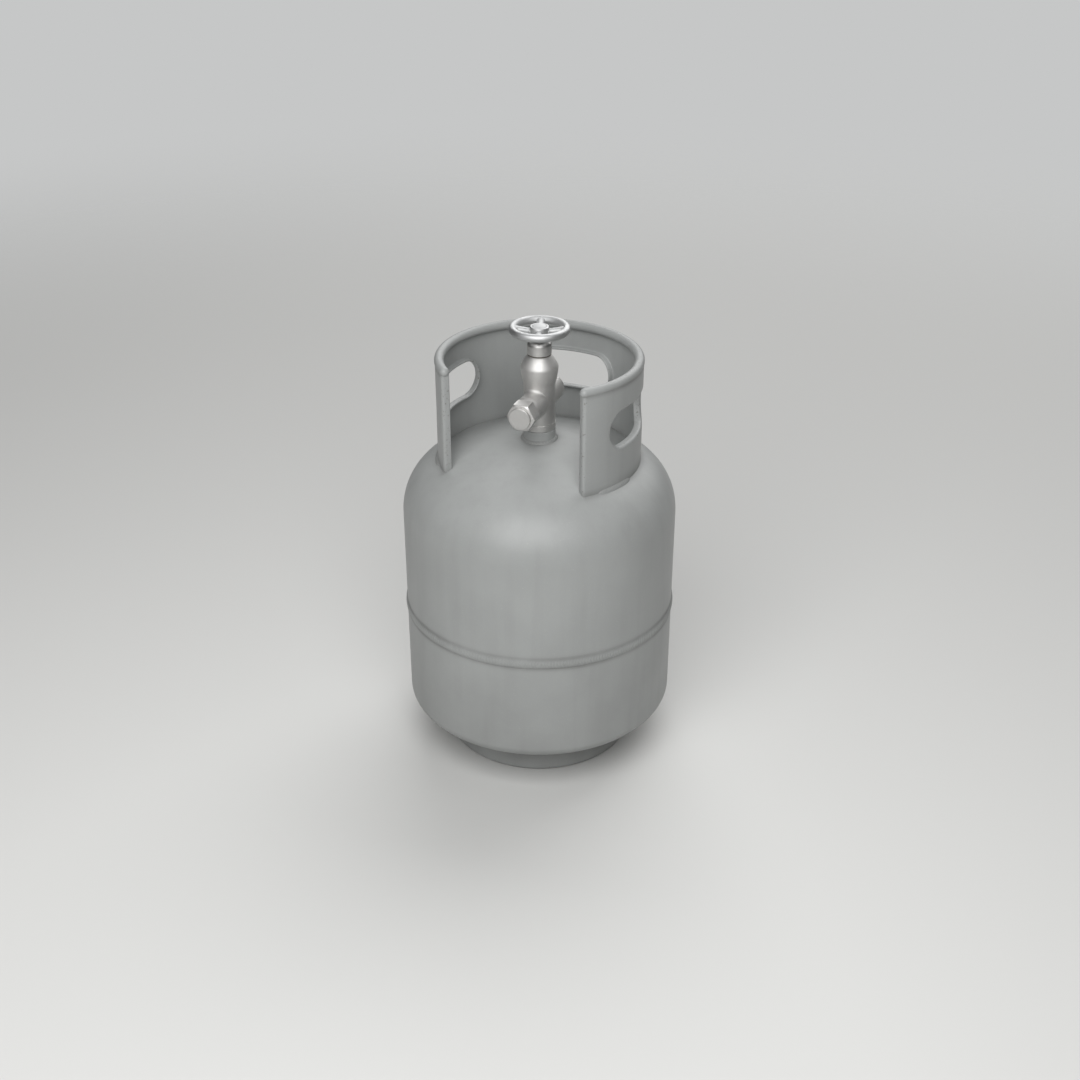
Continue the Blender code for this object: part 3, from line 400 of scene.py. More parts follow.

# %% [markdown]
# ### Enamel on steel
#
# Stoved enamel is a dielectric with a satin gloss, a faint orange peel from spraying, and slow changes
# of tone where the coat is thicker. Rain carries dirt down in streaks. Corners are darkened, partly by
# dirt that rain leaves there and partly by painted shade, and so is the wall towards the floor, partly by
# dirt splashed up from the ground and partly by painted shade. On rubbed edges the primer shows in small
# chips. Each of these is a layer that follows the form, which a picture of paint would not.

# %% Enamel: coat and dust
CLOUD_SIZE, CLOUD_LOW, CLOUD_HIGH = 70.0, 0.32, 0.68
# Real dust is finer. Its specks are drawn this coarse so that they show.
SPECK_SIZE, SPECK_LOW, SPECK_HIGH, SPECK_SHARE = 1.1, 0.62, 0.75, 0.12
DUST = "#D8D6D0"


def enamel_coat(tree, place, coat, coat_shade):
    """Two greys in slow clouds, with pale specks of dust: the colour, and the clouds."""
    cloud = add(tree, "TexNoise", {"Scale": per_metre(CLOUD_SIZE), "Detail": 4.0}, {"Vector": place})
    cloudy = add(tree, "MapRange", {1: CLOUD_LOW, 2: CLOUD_HIGH}, {0: cloud})
    tone = add(tree, "Mix", {6: linear(coat), 7: linear(coat_shade)}, {0: cloudy}, **RGBA)
    speck = add(tree, "TexNoise", {"Scale": per_metre(SPECK_SIZE), "Detail": 2.0}, {"Vector": place})
    dusty = add(tree, "MapRange", {1: SPECK_LOW, 2: SPECK_HIGH, 4: SPECK_SHARE}, {0: speck})
    return add(tree, "Mix", {7: linear(DUST)}, {0: dusty, 6: tone}, **RGBA), cloud


print(f"clouds of {CLOUD_SIZE:.0f} mm, specks of {SPECK_SIZE} mm")

# %% Enamel: dirt and painted shade
STREAK_WIDTH, STREAK_LENGTH = 14.0, 190.0
STREAK_LOW, STREAK_HIGH, STREAK_SHARE = 0.46, 0.76, 0.07
# Darker towards the floor: dirt thrown up from the ground, and painted shade low on the wall.
LOW_DIRT_AND_SHADE_HEIGHT, LOW_DIRT_AND_SHADE_SHARE = 200.0 * MM, 0.28
# Corner and low darkening mix towards this dark grey: partly dirt, partly painted shade.
CORNER_DIRT_AND_SHADE_SHARE = 0.7
DIRT_AND_SHADE = "#5B5A57"


def enamel_dirt_and_shade(tree, place, cloud):
    """Share of soiling and painted shade: rain streaks, plus cloudy soiling and painted shade low down and in
    corners.
    """
    across, down = per_metre(STREAK_WIDTH), per_metre(STREAK_LENGTH)
    stretched = add(tree, "Mapping", {"Scale": (across, across, down)}, {"Vector": place})
    streak = add(tree, "TexNoise", {"Scale": 1.0, "Detail": 3.0}, {"Vector": stretched})
    rain = add(tree, "MapRange", {1: STREAK_LOW, 2: STREAK_HIGH, 4: STREAK_SHARE}, {0: streak})
    height = add(tree, "SeparateXYZ", None, {0: place}, output="Z")
    # Painted shade and dirt: strongest at the floor, gone at this height.
    low_dirt_and_shade = add(tree, "MapRange", {2: LOW_DIRT_AND_SHADE_HEIGHT, 3: LOW_DIRT_AND_SHADE_SHARE, 4: 0.0}, {0: height})
    corner = add(tree, "Attribute", output="Fac", attribute_name="corner_dirt_and_shade")
    settled_dirt_and_shade = add(tree, "Math", {1: CORNER_DIRT_AND_SHADE_SHARE}, {0: corner, 2: low_dirt_and_shade}, **MULTIPLY_ADD)
    return add(tree, "Math", None, {0: settled_dirt_and_shade, 1: cloud, 2: rain}, use_clamp=True, **MULTIPLY_ADD)


print(f"streaks of {STREAK_LENGTH:.0f} mm")

# %% Enamel: chips
CHIP_SIZE, CHIP_RAGGED = 2.6, 0.62
CHIP_EDGE, CHIP_SHARE = 0.03, 0.85


def enamel_chips(tree, place, chips):
    """Share of bare primer: wear times a noise, as far as it is over 1 - chips."""
    rubbed = add(tree, "Attribute", output="Fac", attribute_name="wear")
    pattern = {"Scale": per_metre(CHIP_SIZE), "Detail": 5.0, "Roughness": CHIP_RAGGED}
    chip = add(tree, "TexNoise", pattern, {"Vector": place})
    over = add(tree, "Math", {2: chips - 1.0}, {0: rubbed, 1: chip}, **MULTIPLY_ADD)
    return add(tree, "MapRange", {2: CHIP_EDGE, 4: CHIP_SHARE}, {0: over})


print(f"chips of {CHIP_SIZE} mm")

# %% Enamel: the whole finish
# Real orange peel is 1 to 2 mm wide. It is drawn coarser, so that it still breaks up the highlight.
ORANGE_PEEL, PEEL_DEPTH, PEEL_STRENGTH = 3.5, 0.25 * MM, 0.22
CHIP_DEPTH = 0.6
SIDE_ROUGHNESS, TOP_ROUGHNESS, DIRT_ROUGHNESS = 0.40, 0.50, 0.35
TOP_STARTS = 0.3
ENAMEL_IOR = 1.5


def enamel(name, coat, coat_shade, primer, chips):
    """Coat, soiling with painted shade, and chips in layers. The same share dulls the gloss, and weather on
    top does too.
    """
    material, tree, place = new_finish(name)
    dusty, cloud = enamel_coat(tree, place, coat, coat_shade)
    dirt_and_shade_share = enamel_dirt_and_shade(tree, place, cloud)
    bare = enamel_chips(tree, place, chips)
    # Towards a dark grey: rain streaks of dirt, and in corners and low on the wall dirt with painted shade.
    stained_and_shaded = add(tree, "Mix", {7: linear(DIRT_AND_SHADE)}, {0: dirt_and_shade_share, 6: dusty}, **RGBA)
    colour = add(tree, "Mix", {7: linear(primer)}, {0: bare, 6: stained_and_shaded}, **RGBA)
    normal = add(tree, "NewGeometry", output="Normal")
    facing_up = add(tree, "SeparateXYZ", None, {0: normal}, output="Z")
    dulled = add(tree, "MapRange", {1: TOP_STARTS, 3: SIDE_ROUGHNESS, 4: TOP_ROUGHNESS}, {0: facing_up})
    gloss = add(tree, "Math", {1: DIRT_ROUGHNESS}, {0: dirt_and_shade_share, 2: dulled}, **MULTIPLY_ADD)
    peel = add(tree, "TexNoise", {"Scale": per_metre(ORANGE_PEEL), "Detail": 2.0}, {"Vector": place})
    relief = add(tree, "Math", {1: -CHIP_DEPTH}, {0: bare, 2: peel}, **MULTIPLY_ADD)
    bump = add(tree, "Bump", {"Strength": PEEL_STRENGTH, "Distance": PEEL_DEPTH}, {"Height": relief})
    return complete(material, {"IOR": ENAMEL_IOR}, {"Base Color": colour, "Roughness": gloss, "Normal": bump})


# On the drawn shells the coat is even: a broad soft highlight, hardly a chip.
shell_enamel = enamel("grey_enamel_on_pressed_steel", "#9EA09F", "#989A99", "#85847F", chips=0.37)
# On the rolled sheet it is knocked about: dark specks of primer along every edge.
collar_enamel = enamel("grey_enamel_on_rolled_sheet", "#9D9F9E", "#979998", "#74736E", chips=0.40)
# On rough weld metal it lies thinner: a shade darker, and rubbed on the crowns.
weld_enamel = enamel("grey_enamel_on_weld_bead", "#9A9C9B", "#919392", "#7F7E79", chips=0.38)

# %% [markdown]
# ### Metals, rubber and the rest
#
# The plated forging keeps a fine blasted skin under the nickel, the casting a coarser one, so one
# function makes both from the size of that grain. Hands polish the edges, and corners tarnish and get
# painted shade. Rubber, fibre and nylon are plain stuff with a soft mottle.

# %% Metals
METAL_CLOUD, METAL_LOW, METAL_HIGH = 14.0, 0.3, 0.7
TARNISH_AND_SHADE, TARNISH_AND_SHADE_SHARE = "#7F7D78", 0.5
SATIN_LESS, SATIN_MORE, POLISH = 0.05, 0.08, 0.15
GRAIN_STRENGTH = 0.25


def metal(name, bright, dull, roughness, grain_mm, depth_mm):
    """Two tones in a slow cloud, a grained skin, tarnish and painted shade in corners, and polished edges."""
    material, tree, place = new_finish(name)
    cloud = add(tree, "TexNoise", {"Scale": per_metre(METAL_CLOUD), "Detail": 5.0}, {"Vector": place})
    tone = add(tree, "Mix", {6: linear(bright), 7: linear(dull)}, {0: cloud}, **RGBA)
    corner = add(tree, "Attribute", output="Fac", attribute_name="corner_dirt_and_shade")
    # Corners turn darker: tarnish, and painted shade.
    tarnish_and_shade_share = add(tree, "Math", {1: TARNISH_AND_SHADE_SHARE}, {0: corner}, operation="MULTIPLY")
    colour = add(tree, "Mix", {7: linear(TARNISH_AND_SHADE)}, {0: tarnish_and_shade_share, 6: tone}, **RGBA)
    satin_range = {1: METAL_LOW, 2: METAL_HIGH, 3: roughness - SATIN_LESS, 4: roughness + SATIN_MORE}
    satin = add(tree, "MapRange", satin_range, {0: cloud})
    rubbed = add(tree, "Attribute", output="Fac", attribute_name="wear")
    gloss = add(tree, "Math", {1: -POLISH}, {0: rubbed, 2: satin}, **MULTIPLY_ADD)
    grain = add(tree, "TexNoise", {"Scale": per_metre(grain_mm), "Detail": 3.0}, {"Vector": place})
    bump = add(tree, "Bump", {"Strength": GRAIN_STRENGTH, "Distance": depth_mm * MM}, {"Height": grain})
    return complete(material, {"Metallic": 1.0}, {"Base Color": colour, "Roughness": gloss, "Normal": bump})


# Real grain is about a tenth of a millimetre wide. In all three it is drawn coarser, so that it shows.
# Blasted, then plated: a warm light grey with wide, soft highlights.
nickel = metal("satin_nickel_on_forged_brass", "#D8D7D5", "#C9C8C6", 0.60, grain_mm=0.9, depth_mm=0.05)
# Cast and tumbled: a cooler grey, duller and a little uneven.
casting = metal("die_cast_aluminium", "#CBCCCC", "#BDBEBE", 0.62, grain_mm=1.4, depth_mm=0.09)
# Turned on a lathe: the brightest of the metals, with narrow highlights.
stainless = metal("turned_stainless_steel", "#C9C9C9", "#B8B8B8", 0.26, grain_mm=0.7, depth_mm=0.03)

# %% Rubber, fibre and nylon
SKIN_STRENGTH, SKIN_DEPTH = 0.3, 0.05 * MM


def moulded(name, colour, mottle, roughness, grain_mm):
    """Two close tones and a fine matt skin."""
    material, tree, place = new_finish(name)
    grain = add(tree, "TexNoise", {"Scale": per_metre(grain_mm), "Detail": 4.0}, {"Vector": place})
    tone = add(tree, "Mix", {6: linear(colour), 7: linear(mottle)}, {0: grain}, **RGBA)
    bump = add(tree, "Bump", {"Strength": SKIN_STRENGTH, "Distance": SKIN_DEPTH}, {"Height": grain})
    return complete(material, {"Roughness": roughness}, {"Base Color": tone, "Normal": bump})


# The grain of these is drawn coarser than the real tenth of a millimetre, too.
# Moulded: near black and matt, so a seal reads as a dark line.
rubber = moulded("moulded_nitrile_rubber", "#1B1B1C", "#232324", 0.72, grain_mm=1.2)
# Pressed from fibres: brownish grey, without any gloss.
fibre = moulded("pressed_fibre_gasket", "#5A5651", "#6A655E", 0.85, grain_mm=0.8)
# Turned from bar: off-white, with the faint gloss of wax.
nylon = moulded("turned_nylon", "#DDDCD2", "#D2D1C6", 0.48, grain_mm=1.0)

# %% [markdown]
# ## The two shells
#
# The vessel is two deep-drawn cups, each a profile spun round the axis: wall, knuckle and spherical
# crown. A sphere or a subdivided cylinder would only come near this; the arcs give the true pressed
# head. The lower cup's lip is joggled inwards and hides in the upper one.

# %% Pressed heads
WALL_STEPS = np.array([0.0, 2.0, 4.0, 6.0, 9.0, 13.0, 20.0]) * MM
OUTSIDE_STEPS, INSIDE_STEPS = (22, 34), (10, 12)


def head_profile(knuckle, inset, edge_radius, tangent, upwards, steps=OUTSIDE_STEPS):
    """A head from wall to edge: an arc of radius knuckle, then one of the crown's radius."""
    crown_centre = head_depth(knuckle) - CROWN_RADIUS
    join = math.atan2(-crown_centre, TANK_RADIUS - knuckle)
    crown = CROWN_RADIUS - inset
    bend = arc((TANK_RADIUS - knuckle, 0.0), knuckle - inset, 0.0, join, steps[0])
    cap = arc((0.0, crown_centre), crown, join, math.acos(edge_radius / crown), steps[1])[1:]
    profile = np.concatenate([bend, cap])
    profile[:, 1] = tangent + upwards * profile[:, 1]
    return profile


def wall_rows(radius, start, upwards):
    """Rows of a straight wall, close together beside the seam."""
    return np.stack([radius + 0 * WALL_STEPS, start + upwards * WALL_STEPS, 0 * WALL_STEPS], -1)


print(f"upper head {head_depth(UPPER_KNUCKLE) / MM:.1f} mm deep")

# %% Upper shell
upper_outside = head_profile(UPPER_KNUCKLE, 0.0, SPUD_HOLE, UPPER_TANGENT, 1)
upper_inside = head_profile(UPPER_KNUCKLE, SHELL_WALL, SPUD_HOLE, UPPER_TANGENT, 1, INSIDE_STEPS)
upper_profile = np.concatenate([
    wall_rows(TANK_RADIUS, SEAM_Z, 1), upper_outside,
    upper_inside[::-1], [(TANK_RADIUS - SHELL_WALL, SEAM_Z, 0.0)],
])
make_piece(
    "upper_shell_pressed", [turned(upper_profile, TANK_SIDES)], shell_enamel, "tank",
    "upper_shell",
)

# %% Lower shell
LIP_RADIUS = TANK_RADIUS - SHELL_WALL - GAP
LIP_TOP = high("lower_shell").z
JOGGLE_TOP = SEAM_Z - 1.5 * MM
JOGGLE_FOOT = JOGGLE_TOP - 5.0 * MM
LOWER_OUTSIDE_STEPS, LOWER_INSIDE_STEPS = (14, 34), (6, 12)


def lower_side(inset, steps):
    """One side of the lower cup, from lip to axis."""
    return np.concatenate([
        [(LIP_RADIUS - inset, LIP_TOP, 0.0), (LIP_RADIUS - inset, JOGGLE_TOP, 0.0)],
        wall_rows(TANK_RADIUS - inset, JOGGLE_FOOT, -1),
        head_profile(LOWER_KNUCKLE, inset, 0.0, LOWER_TANGENT, -1, steps),
    ])


lower_profile = np.concatenate([
    lower_side(SHELL_WALL, LOWER_INSIDE_STEPS)[::-1], lower_side(0.0, LOWER_OUTSIDE_STEPS),
])
lower_profile[[0, -1], 0] = 0.0
make_piece(
    "lower_shell_pressed", [turned(lower_profile, TANK_SIDES, ring=False)], shell_enamel, "tank",
    "lower_shell",
)

# %% [markdown]
# ## Weld beads
#
# A torch lays the girth bead while the tank turns under it, and the pool freezes in crescents. A bump
# map could fake them, but the bead shows in outline, so its ripples are in the mesh. Weld metal is fused
# to the plates: the toes of every bead sink a hair into them, and no gap shows.

# %% Girth weld
RIPPLE_PITCH = 3.4 * MM
POINTS_A_RIPPLE = 6
CRESCENT_BOW = 0.8
RIPPLE_LEAN = 0.7
RIPPLE_SHARE = 0.38
BEAD_ROWS = 11
BEAD_WEAR = 0.9
WELD_SINK = 0.05 * MM
BEAD_RADIUS = high("girth_weld").x


def ripples(along, across):
    """Crescents of frozen weld, 0 to 1: a rounded saw along the bead, bent by 1 - across^2."""
    phase = along / RIPPLE_PITCH + CRESCENT_BOW * (1 - across**2)
    saw = phase - np.floor(phase)
    return np.sin(np.pi * saw**RIPPLE_LEAN)


def girth_bead():
    """Radius = skin + crown (1 - s^2)(1 - share + share ripples), s from -1 to 1 across; then the root."""
    count = round(2 * np.pi * TANK_RADIUS / RIPPLE_PITCH)
    a = full_turn(count * POINTS_A_RIPPLE)
    across = np.linspace(-1, 1, BEAD_ROWS)[:, None]
    skin = TANK_RADIUS - WELD_SINK
    along = a * count * RIPPLE_PITCH / (2 * np.pi)
    swell = (1 - across**2) * (1 - RIPPLE_SHARE + RIPPLE_SHARE * ripples(along, across))
    crown = skin + (BEAD_RADIUS - skin) * swell
    middle, half = (BEAD_LOW + BEAD_HIGH) / 2, (BEAD_HIGH - BEAD_LOW) / 2
    root = [
        (skin, SEAM_Z - GAP, 0.0), (LIP_RADIUS + GAP, SEAM_Z - GAP, 0.0),
        (LIP_RADIUS + GAP, JOGGLE_TOP + 2 * GAP, 0.0), (skin, JOGGLE_FOOT + 2 * GAP, 0.0),
    ]
    bead = [crown, middle + across * half + 0 * a, BEAD_WEAR * swell**2]
    return spun([bead, rows(root, a)], a, ring=True)


make_piece("girth_weld_bead", [girth_bead()], weld_enamel, "tank", "girth_weld")

# %% [markdown]
# ## Fillet welds
#
# Foot ring, spud and collar are held by hand-laid fillets, three-cornered beads in the corner of two
# plates. A bevelled curve could follow the corner. A section carried round the axis can do more: it
# swells in ripples, and on the collar, which only has short stitches, its ends run out.

# %% Fillet welds
FILLET_POINTS = 9
FILLET_SWELL, FILLET_RIPPLE = 0.02, 0.16
TAPER_LATE, TAPER_ROUND = 6, 0.75


def fillet(corner, leg_a, leg_b, start, end):
    """A fillet in the (r, z) plane, carried from angle start to end.

    corner is the root, leg_a and leg_b reach to the toes. The face is the chord between the toes plus a
    swell 4 s (1 - s) with ripples. A stitch shrinks towards its root as (1 - t^6)^(3/4), t from -1 to 1.
    """
    corner, leg_a, leg_b = (np.asarray(v, float) for v in (corner, leg_a, leg_b))
    around = end - start == 2 * np.pi
    ripple_count = round((end - start) * corner[0] / RIPPLE_PITCH)
    count = ripple_count * POINTS_A_RIPPLE
    a = np.linspace(start, end, count, endpoint=not around)
    along = (a - start) * ripple_count * RIPPLE_PITCH / (end - start)
    s = np.linspace(0, 1, FILLET_POINTS)[:, None]
    outwards = (leg_a + leg_b) / np.linalg.norm(leg_a + leg_b)
    size = (np.linalg.norm(leg_a) + np.linalg.norm(leg_b)) / 2
    swell = 4 * s * (1 - s) * size * (FILLET_SWELL + FILLET_RIPPLE * ripples(along, 2 * s - 1))
    taper = 1.0 if around else (1 - np.linspace(-1, 1, count) ** TAPER_LATE) ** TAPER_ROUND
    r = corner[0] + taper * (leg_a[0] + (leg_b[0] - leg_a[0]) * s + outwards[0] * swell)
    z = corner[1] + taper * (leg_a[1] + (leg_b[1] - leg_a[1]) * s + outwards[1] * swell)
    r = np.concatenate([r, corner[0] + 0 * a[None]])
    z = np.concatenate([z, corner[1] + 0 * a[None]])
    return grid(cylinder(r, a, z), ring=True, around=around)


print(f"a ripple every {RIPPLE_PITCH / MM:.1f} mm")

# %% Welds of foot ring, spud and collar
FOOT_LEG, SPUD_LEG, STITCH_LEG = 5.0 * MM, 2.8 * MM, 3.2 * MM
STITCH_HALF_SPAN = math.radians(13.0)
STITCH_MIDDLES = {"right": 68.0, "rear": 180.0, "left": 292.0}


def weld_on(surface, up, radius, leg, name, node, start=0.0, end=2 * np.pi):
    """A fillet between a head and a plate that stands on it at a radius, sunk a hair into both."""
    root = np.array([radius - WELD_SINK, float(surface(radius)) - up * WELD_SINK])
    toe_z = float(surface(root[0] + leg)) - up * WELD_SINK
    bead = fillet(root, (leg, toe_z - root[1]), (0.0, up * leg), start, end)
    make_piece(name, [bead], weld_enamel, "tank", node)


weld_on(belly_z, -1, FOOT_RADIUS, FOOT_LEG, "foot_ring_fillet", "foot_ring_weld")
weld_on(dome_z, 1, SPUD_RADIUS, SPUD_LEG, "spud_fillet", "spud_weld")
for side, degrees in STITCH_MIDDLES.items():
    ends = [math.radians(degrees) + way * STITCH_HALF_SPAN for way in (-1, 1)]
    weld_on(dome_z, 1, COLLAR_RADIUS, STITCH_LEG, f"collar_stitch_{side}", f"collar_weld_{side}", *ends)

# %% [markdown]
# ## Foot ring
#
# A strip of sheet, rolled into a ring, with its lower edge turned in to a flat flange. A bent strip with
# Solidify would come near it, but a turned profile gives each bend its own radius. The lower bend
# scrapes over floors, so that is where the coat wears.

# %% Foot ring
FOOT_WALL = 3.0 * MM
FOOT_FLANGE = 13.0 * MM
FOOT_BEND = 4.5 * MM
foot_inside = FOOT_RADIUS - FOOT_WALL
foot_profile = rounded([
    (FOOT_RADIUS, float(belly_z(FOOT_RADIUS)) - GAP, 0.4 * MM),
    (FOOT_RADIUS, 0.0, FOOT_BEND),
    (FOOT_RADIUS - FOOT_FLANGE, 0.0, 0.5 * MM),
    (FOOT_RADIUS - FOOT_FLANGE, FOOT_WALL, 0.5 * MM),
    (foot_inside, FOOT_WALL, FOOT_BEND - FOOT_WALL),
    (foot_inside, float(belly_z(foot_inside)) - GAP, 0.4 * MM),
], steps=8)
make_piece(
    "foot_ring_rolled", [turned(foot_profile, TANK_SIDES)], collar_enamel, "tank", "foot_ring",
)

# %% [markdown]
# ## Collar
#
# The guard is a rolled sheet whose slots and ends have edges folded inwards, stiff and kind to hands. A
# Boolean could cut the slots, but it would leave no clean edge to fold. So the sheet is laid out flat
# first, as a sheet-metal worker would: u runs along it, z up, depth inwards. One profile of the fold is
# carried round each slot and up each end, and last the pattern is bent round the tank.

# %% Collar: bending and slots
HANDHOLE_LENGTH = 105.0 * MM
HANDHOLE_RADIUS = 41.5 * MM / 2
SLOT_ARC_POINTS, SLOT_SIDE_POINTS = 15, 19


def bent(u, z, depth):
    """Bend the flat pattern: angle = u / collar radius from the outlet, depth towards the axis."""
    return cylinder(COLLAR_RADIUS - depth, u / COLLAR_RADIUS, z)


def foot_z(depth):
    """Height of the sheet's lower edge, which follows the dome and sinks a hair into it."""
    return dome_z(COLLAR_RADIUS - depth) - WELD_SINK


def half_slot(offset):
    """Half a full-round slot, widened by an offset: quarter circle, straight, quarter circle."""
    straight = HANDHOLE_LENGTH / 2 - HANDHOLE_RADIUS
    radius = HANDHOLE_RADIUS + np.asarray(offset)[..., None]
    a = np.linspace(np.pi, np.pi / 2, SLOT_ARC_POINTS)
    middle = np.linspace(-straight, straight, SLOT_SIDE_POINTS)[1:-1]
    across, up = radius * np.cos(a), radius * np.sin(a)
    u = np.concatenate([across - straight, middle + 0 * radius, straight - across[..., ::-1]], -1)
    rise = np.concatenate([up, radius + 0 * middle, up[..., ::-1]], -1)
    rise[..., [0, -1]] = 0.0
    return u, rise


print(f"slots of {HANDHOLE_LENGTH / MM:.0f} x {2 * HANDHOLE_RADIUS / MM:.1f} mm")

# %% Collar: folded edge
FOLD_DEPTH = 9.0 * MM
FOLD_WALL = 2.5 * MM
INNER_BEND = 1.0 * MM
OUTER_BEND = FOLD_WALL + INNER_BEND


def fold_profile(steps=6):
    """Offset from the edge and depth: outer bend, wall, round edge, wall, inner bend."""
    a = np.linspace(0, np.pi / 2, steps + 1)
    b = np.linspace(0, np.pi, 2 * steps)
    half = FOLD_WALL / 2
    offset = np.concatenate([
        OUTER_BEND * (1 - np.sin(a)), half - half * np.cos(b), OUTER_BEND - INNER_BEND * np.cos(a),
    ])
    depth = np.concatenate([
        OUTER_BEND * (1 - np.cos(a)), FOLD_DEPTH - half + half * np.sin(b),
        COLLAR_WALL + INNER_BEND * (1 - np.sin(a)),
    ])
    wear = np.concatenate([np.ones(len(a)), np.ones(len(b)), np.zeros(len(a))])
    return offset, depth, wear


print(f"edges folded {FOLD_DEPTH / MM:.1f} mm deep")

# %% Collar: sheet
HANDHOLE_ANGLES = (90.0, 180.0, 270.0)
COLLAR_FOOT = float(dome_z(COLLAR_RADIUS)) + GAP
HANDHOLE_Z = COLLAR_FOOT + 43.0 * MM + HANDHOLE_RADIUS
RIM_Z = COLLAR_FOOT + 114.8 * MM
SHEET_ROWS = np.array([0, 0.05, 0.12, 0.3, 0.5, 0.7, 0.8, 0.86, 0.9, 0.95, 1.0])[:, None]
POINTS_BETWEEN = 12


def sheet_columns():
    """Uprights of the sheet along u: their place, and the half height of the slot there."""
    start = COLLAR_HALF_GAP * COLLAR_RADIUS + OUTER_BEND
    end = (2 * np.pi - COLLAR_HALF_GAP) * COLLAR_RADIUS - OUTER_BEND
    slot_u, slot_rise = half_slot(OUTER_BEND)
    places, rises, last = [np.array([start])], [np.zeros(1)], start
    for degrees in HANDHOLE_ANGLES:
        u = math.radians(degrees) * COLLAR_RADIUS + slot_u
        between = np.linspace(last, u[0], POINTS_BETWEEN)[1:-1]
        places += [between, u]
        rises += [0 * between, slot_rise]
        last = u[-1]
    between = np.linspace(last, end, POINTS_BETWEEN)[1:]
    return np.concatenate(places + [between]), np.concatenate(rises + [0 * between])


def sheet_pair(u, rise, depth, wear=0.0):
    """Sheet below and above a slot of half height rise: from the dome to it, and on up to the rim."""
    below = foot_z(depth) + (HANDHOLE_Z - rise - foot_z(depth)) * SHEET_ROWS
    above = HANDHOLE_Z + rise + (RIM_Z - HANDHOLE_Z - rise) * SHEET_ROWS + 0 * depth
    return [grid(bent(u, z, depth), wear) for z in (below, above)]


def borders(pair):
    """A pair's borders at foot and rim."""
    return pair[0]["points"][0], pair[1]["points"][-1]


def collar_patches():
    """The sheet's faces and edges, the folds round its slots and the folded ends."""
    offset, depth, wear = fold_profile()
    outside, inside = (sheet_pair(*sheet_columns(), d) for d in (0.0, COLLAR_WALL))
    patches = outside + inside + [grid(np.stack(pair)) for pair in zip(borders(outside), borders(inside))]
    slot_u, slot_rise = half_slot(offset)
    for degrees in HANDHOLE_ANGLES:
        u = math.radians(degrees) * COLLAR_RADIUS + slot_u
        folds = [bent(u, HANDHOLE_Z + side * slot_rise, depth[:, None]) for side in (-1, 1)]
        patches += [grid(points, wear[:, None]) for points in folds]
    half = len(offset) // 2
    for end, inwards in ((COLLAR_HALF_GAP, 1), (2 * np.pi - COLLAR_HALF_GAP, -1)):
        fold = sheet_pair(end * COLLAR_RADIUS + inwards * offset, 0.0, depth, wear)
        patches += fold + [grid(np.stack([row[:half], row[half:][::-1]])) for row in borders(fold)]
    return patches


make_piece("collar_sheet", collar_patches(), collar_enamel, "tank", "collar")

# %% [markdown]
# ## Collar rim
#
# A round bar closes the sheet's top edge. A bevelled curve would have flat ends, so it is a circle
# carried round an arc, with half a ball at each end. The tank is dragged and stacked on it, so its upper
# side is rubbed.

# %% Collar rim
RIM_RADIUS = 5.2 * MM
RIM_CENTRE = COLLAR_RADIUS - FOLD_DEPTH / 2
RIM_TIP = 2.0 * MM
RIM_SIDES, RIM_STEPS, TIP_STEPS = 32, 181, 8
RUB_GAIN, RUB_START = 1.6, 0.6


def rim_patch():
    """Circle radius (cos p, sin p) about the rim's centre line; at the tips it shrinks as a ball does."""
    p = full_turn(RIM_SIDES)
    start = COLLAR_HALF_GAP + (RIM_RADIUS - RIM_TIP) / RIM_CENTRE
    angles = np.linspace(start, 2 * np.pi - start, RIM_STEPS)
    tip = np.linspace(np.pi / 2, 0, TIP_STEPS + 1)[:-1]
    angle = np.concatenate([0 * tip + start, angles, 0 * tip + angles[-1]])[:, None]
    tilt = np.concatenate([-tip, 0 * angles, tip[::-1]])[:, None]
    size, reach = RIM_RADIUS * np.cos(tilt), RIM_RADIUS * np.sin(tilt)
    radius = RIM_CENTRE + size * np.cos(p)
    x = radius * np.sin(angle) + reach * np.cos(angle)
    y = -radius * np.cos(angle) + reach * np.sin(angle)
    z = RIM_Z + size * np.sin(p) + 0 * angle
    wear = np.clip(RUB_GAIN * np.sin(p) - RUB_START, 0, 1) + 0 * angle
    return grid(np.stack([x + 0 * p, y + 0 * p, z], -1), wear, around=True)


make_piece("collar_rim", [rim_patch()], collar_enamel, "tank", "collar")

# %% [markdown]
# ## Spud
#
# A steel boss in the middle of the dome, which the valve screws into. A cylinder with a Bevel would look
# much the same from outside, but the turned profile also has the tapered bore for the valve's shank.

# %% Spud
SPUD_TOP = high("valve_spud").z
SPUD_LOW = low("valve_spud").z
SHANK_RADIUS = 13.0 * MM
SPUD_TAPER, SHANK_TAPER = 0.4 * MM, 0.8 * MM
spud_profile = rounded([
    (SPUD_RADIUS, SPUD_LOW, 0.0), (SPUD_RADIUS, SPUD_TOP, 0.8 * MM),
    (SHANK_RADIUS + GAP, SPUD_TOP, 0.3 * MM), (SHANK_RADIUS - SPUD_TAPER, SPUD_LOW, 0.0),
])
make_piece("valve_spud_turned", [turned(spud_profile)], shell_enamel, "tank", "valve_spud")

# %% [markdown]
# ## Valve body
#
# A brass forging, turned, drilled and plated. A column carries a flange, a straight barrel and a bulb; a
# cross barrel holds the outlet in front and the relief valve behind. Forgings have a radius where forms
# meet. A Boolean with a bevel could give it, but the two cylinders almost run into each other at the
# sides. There a flare by formula can fade.

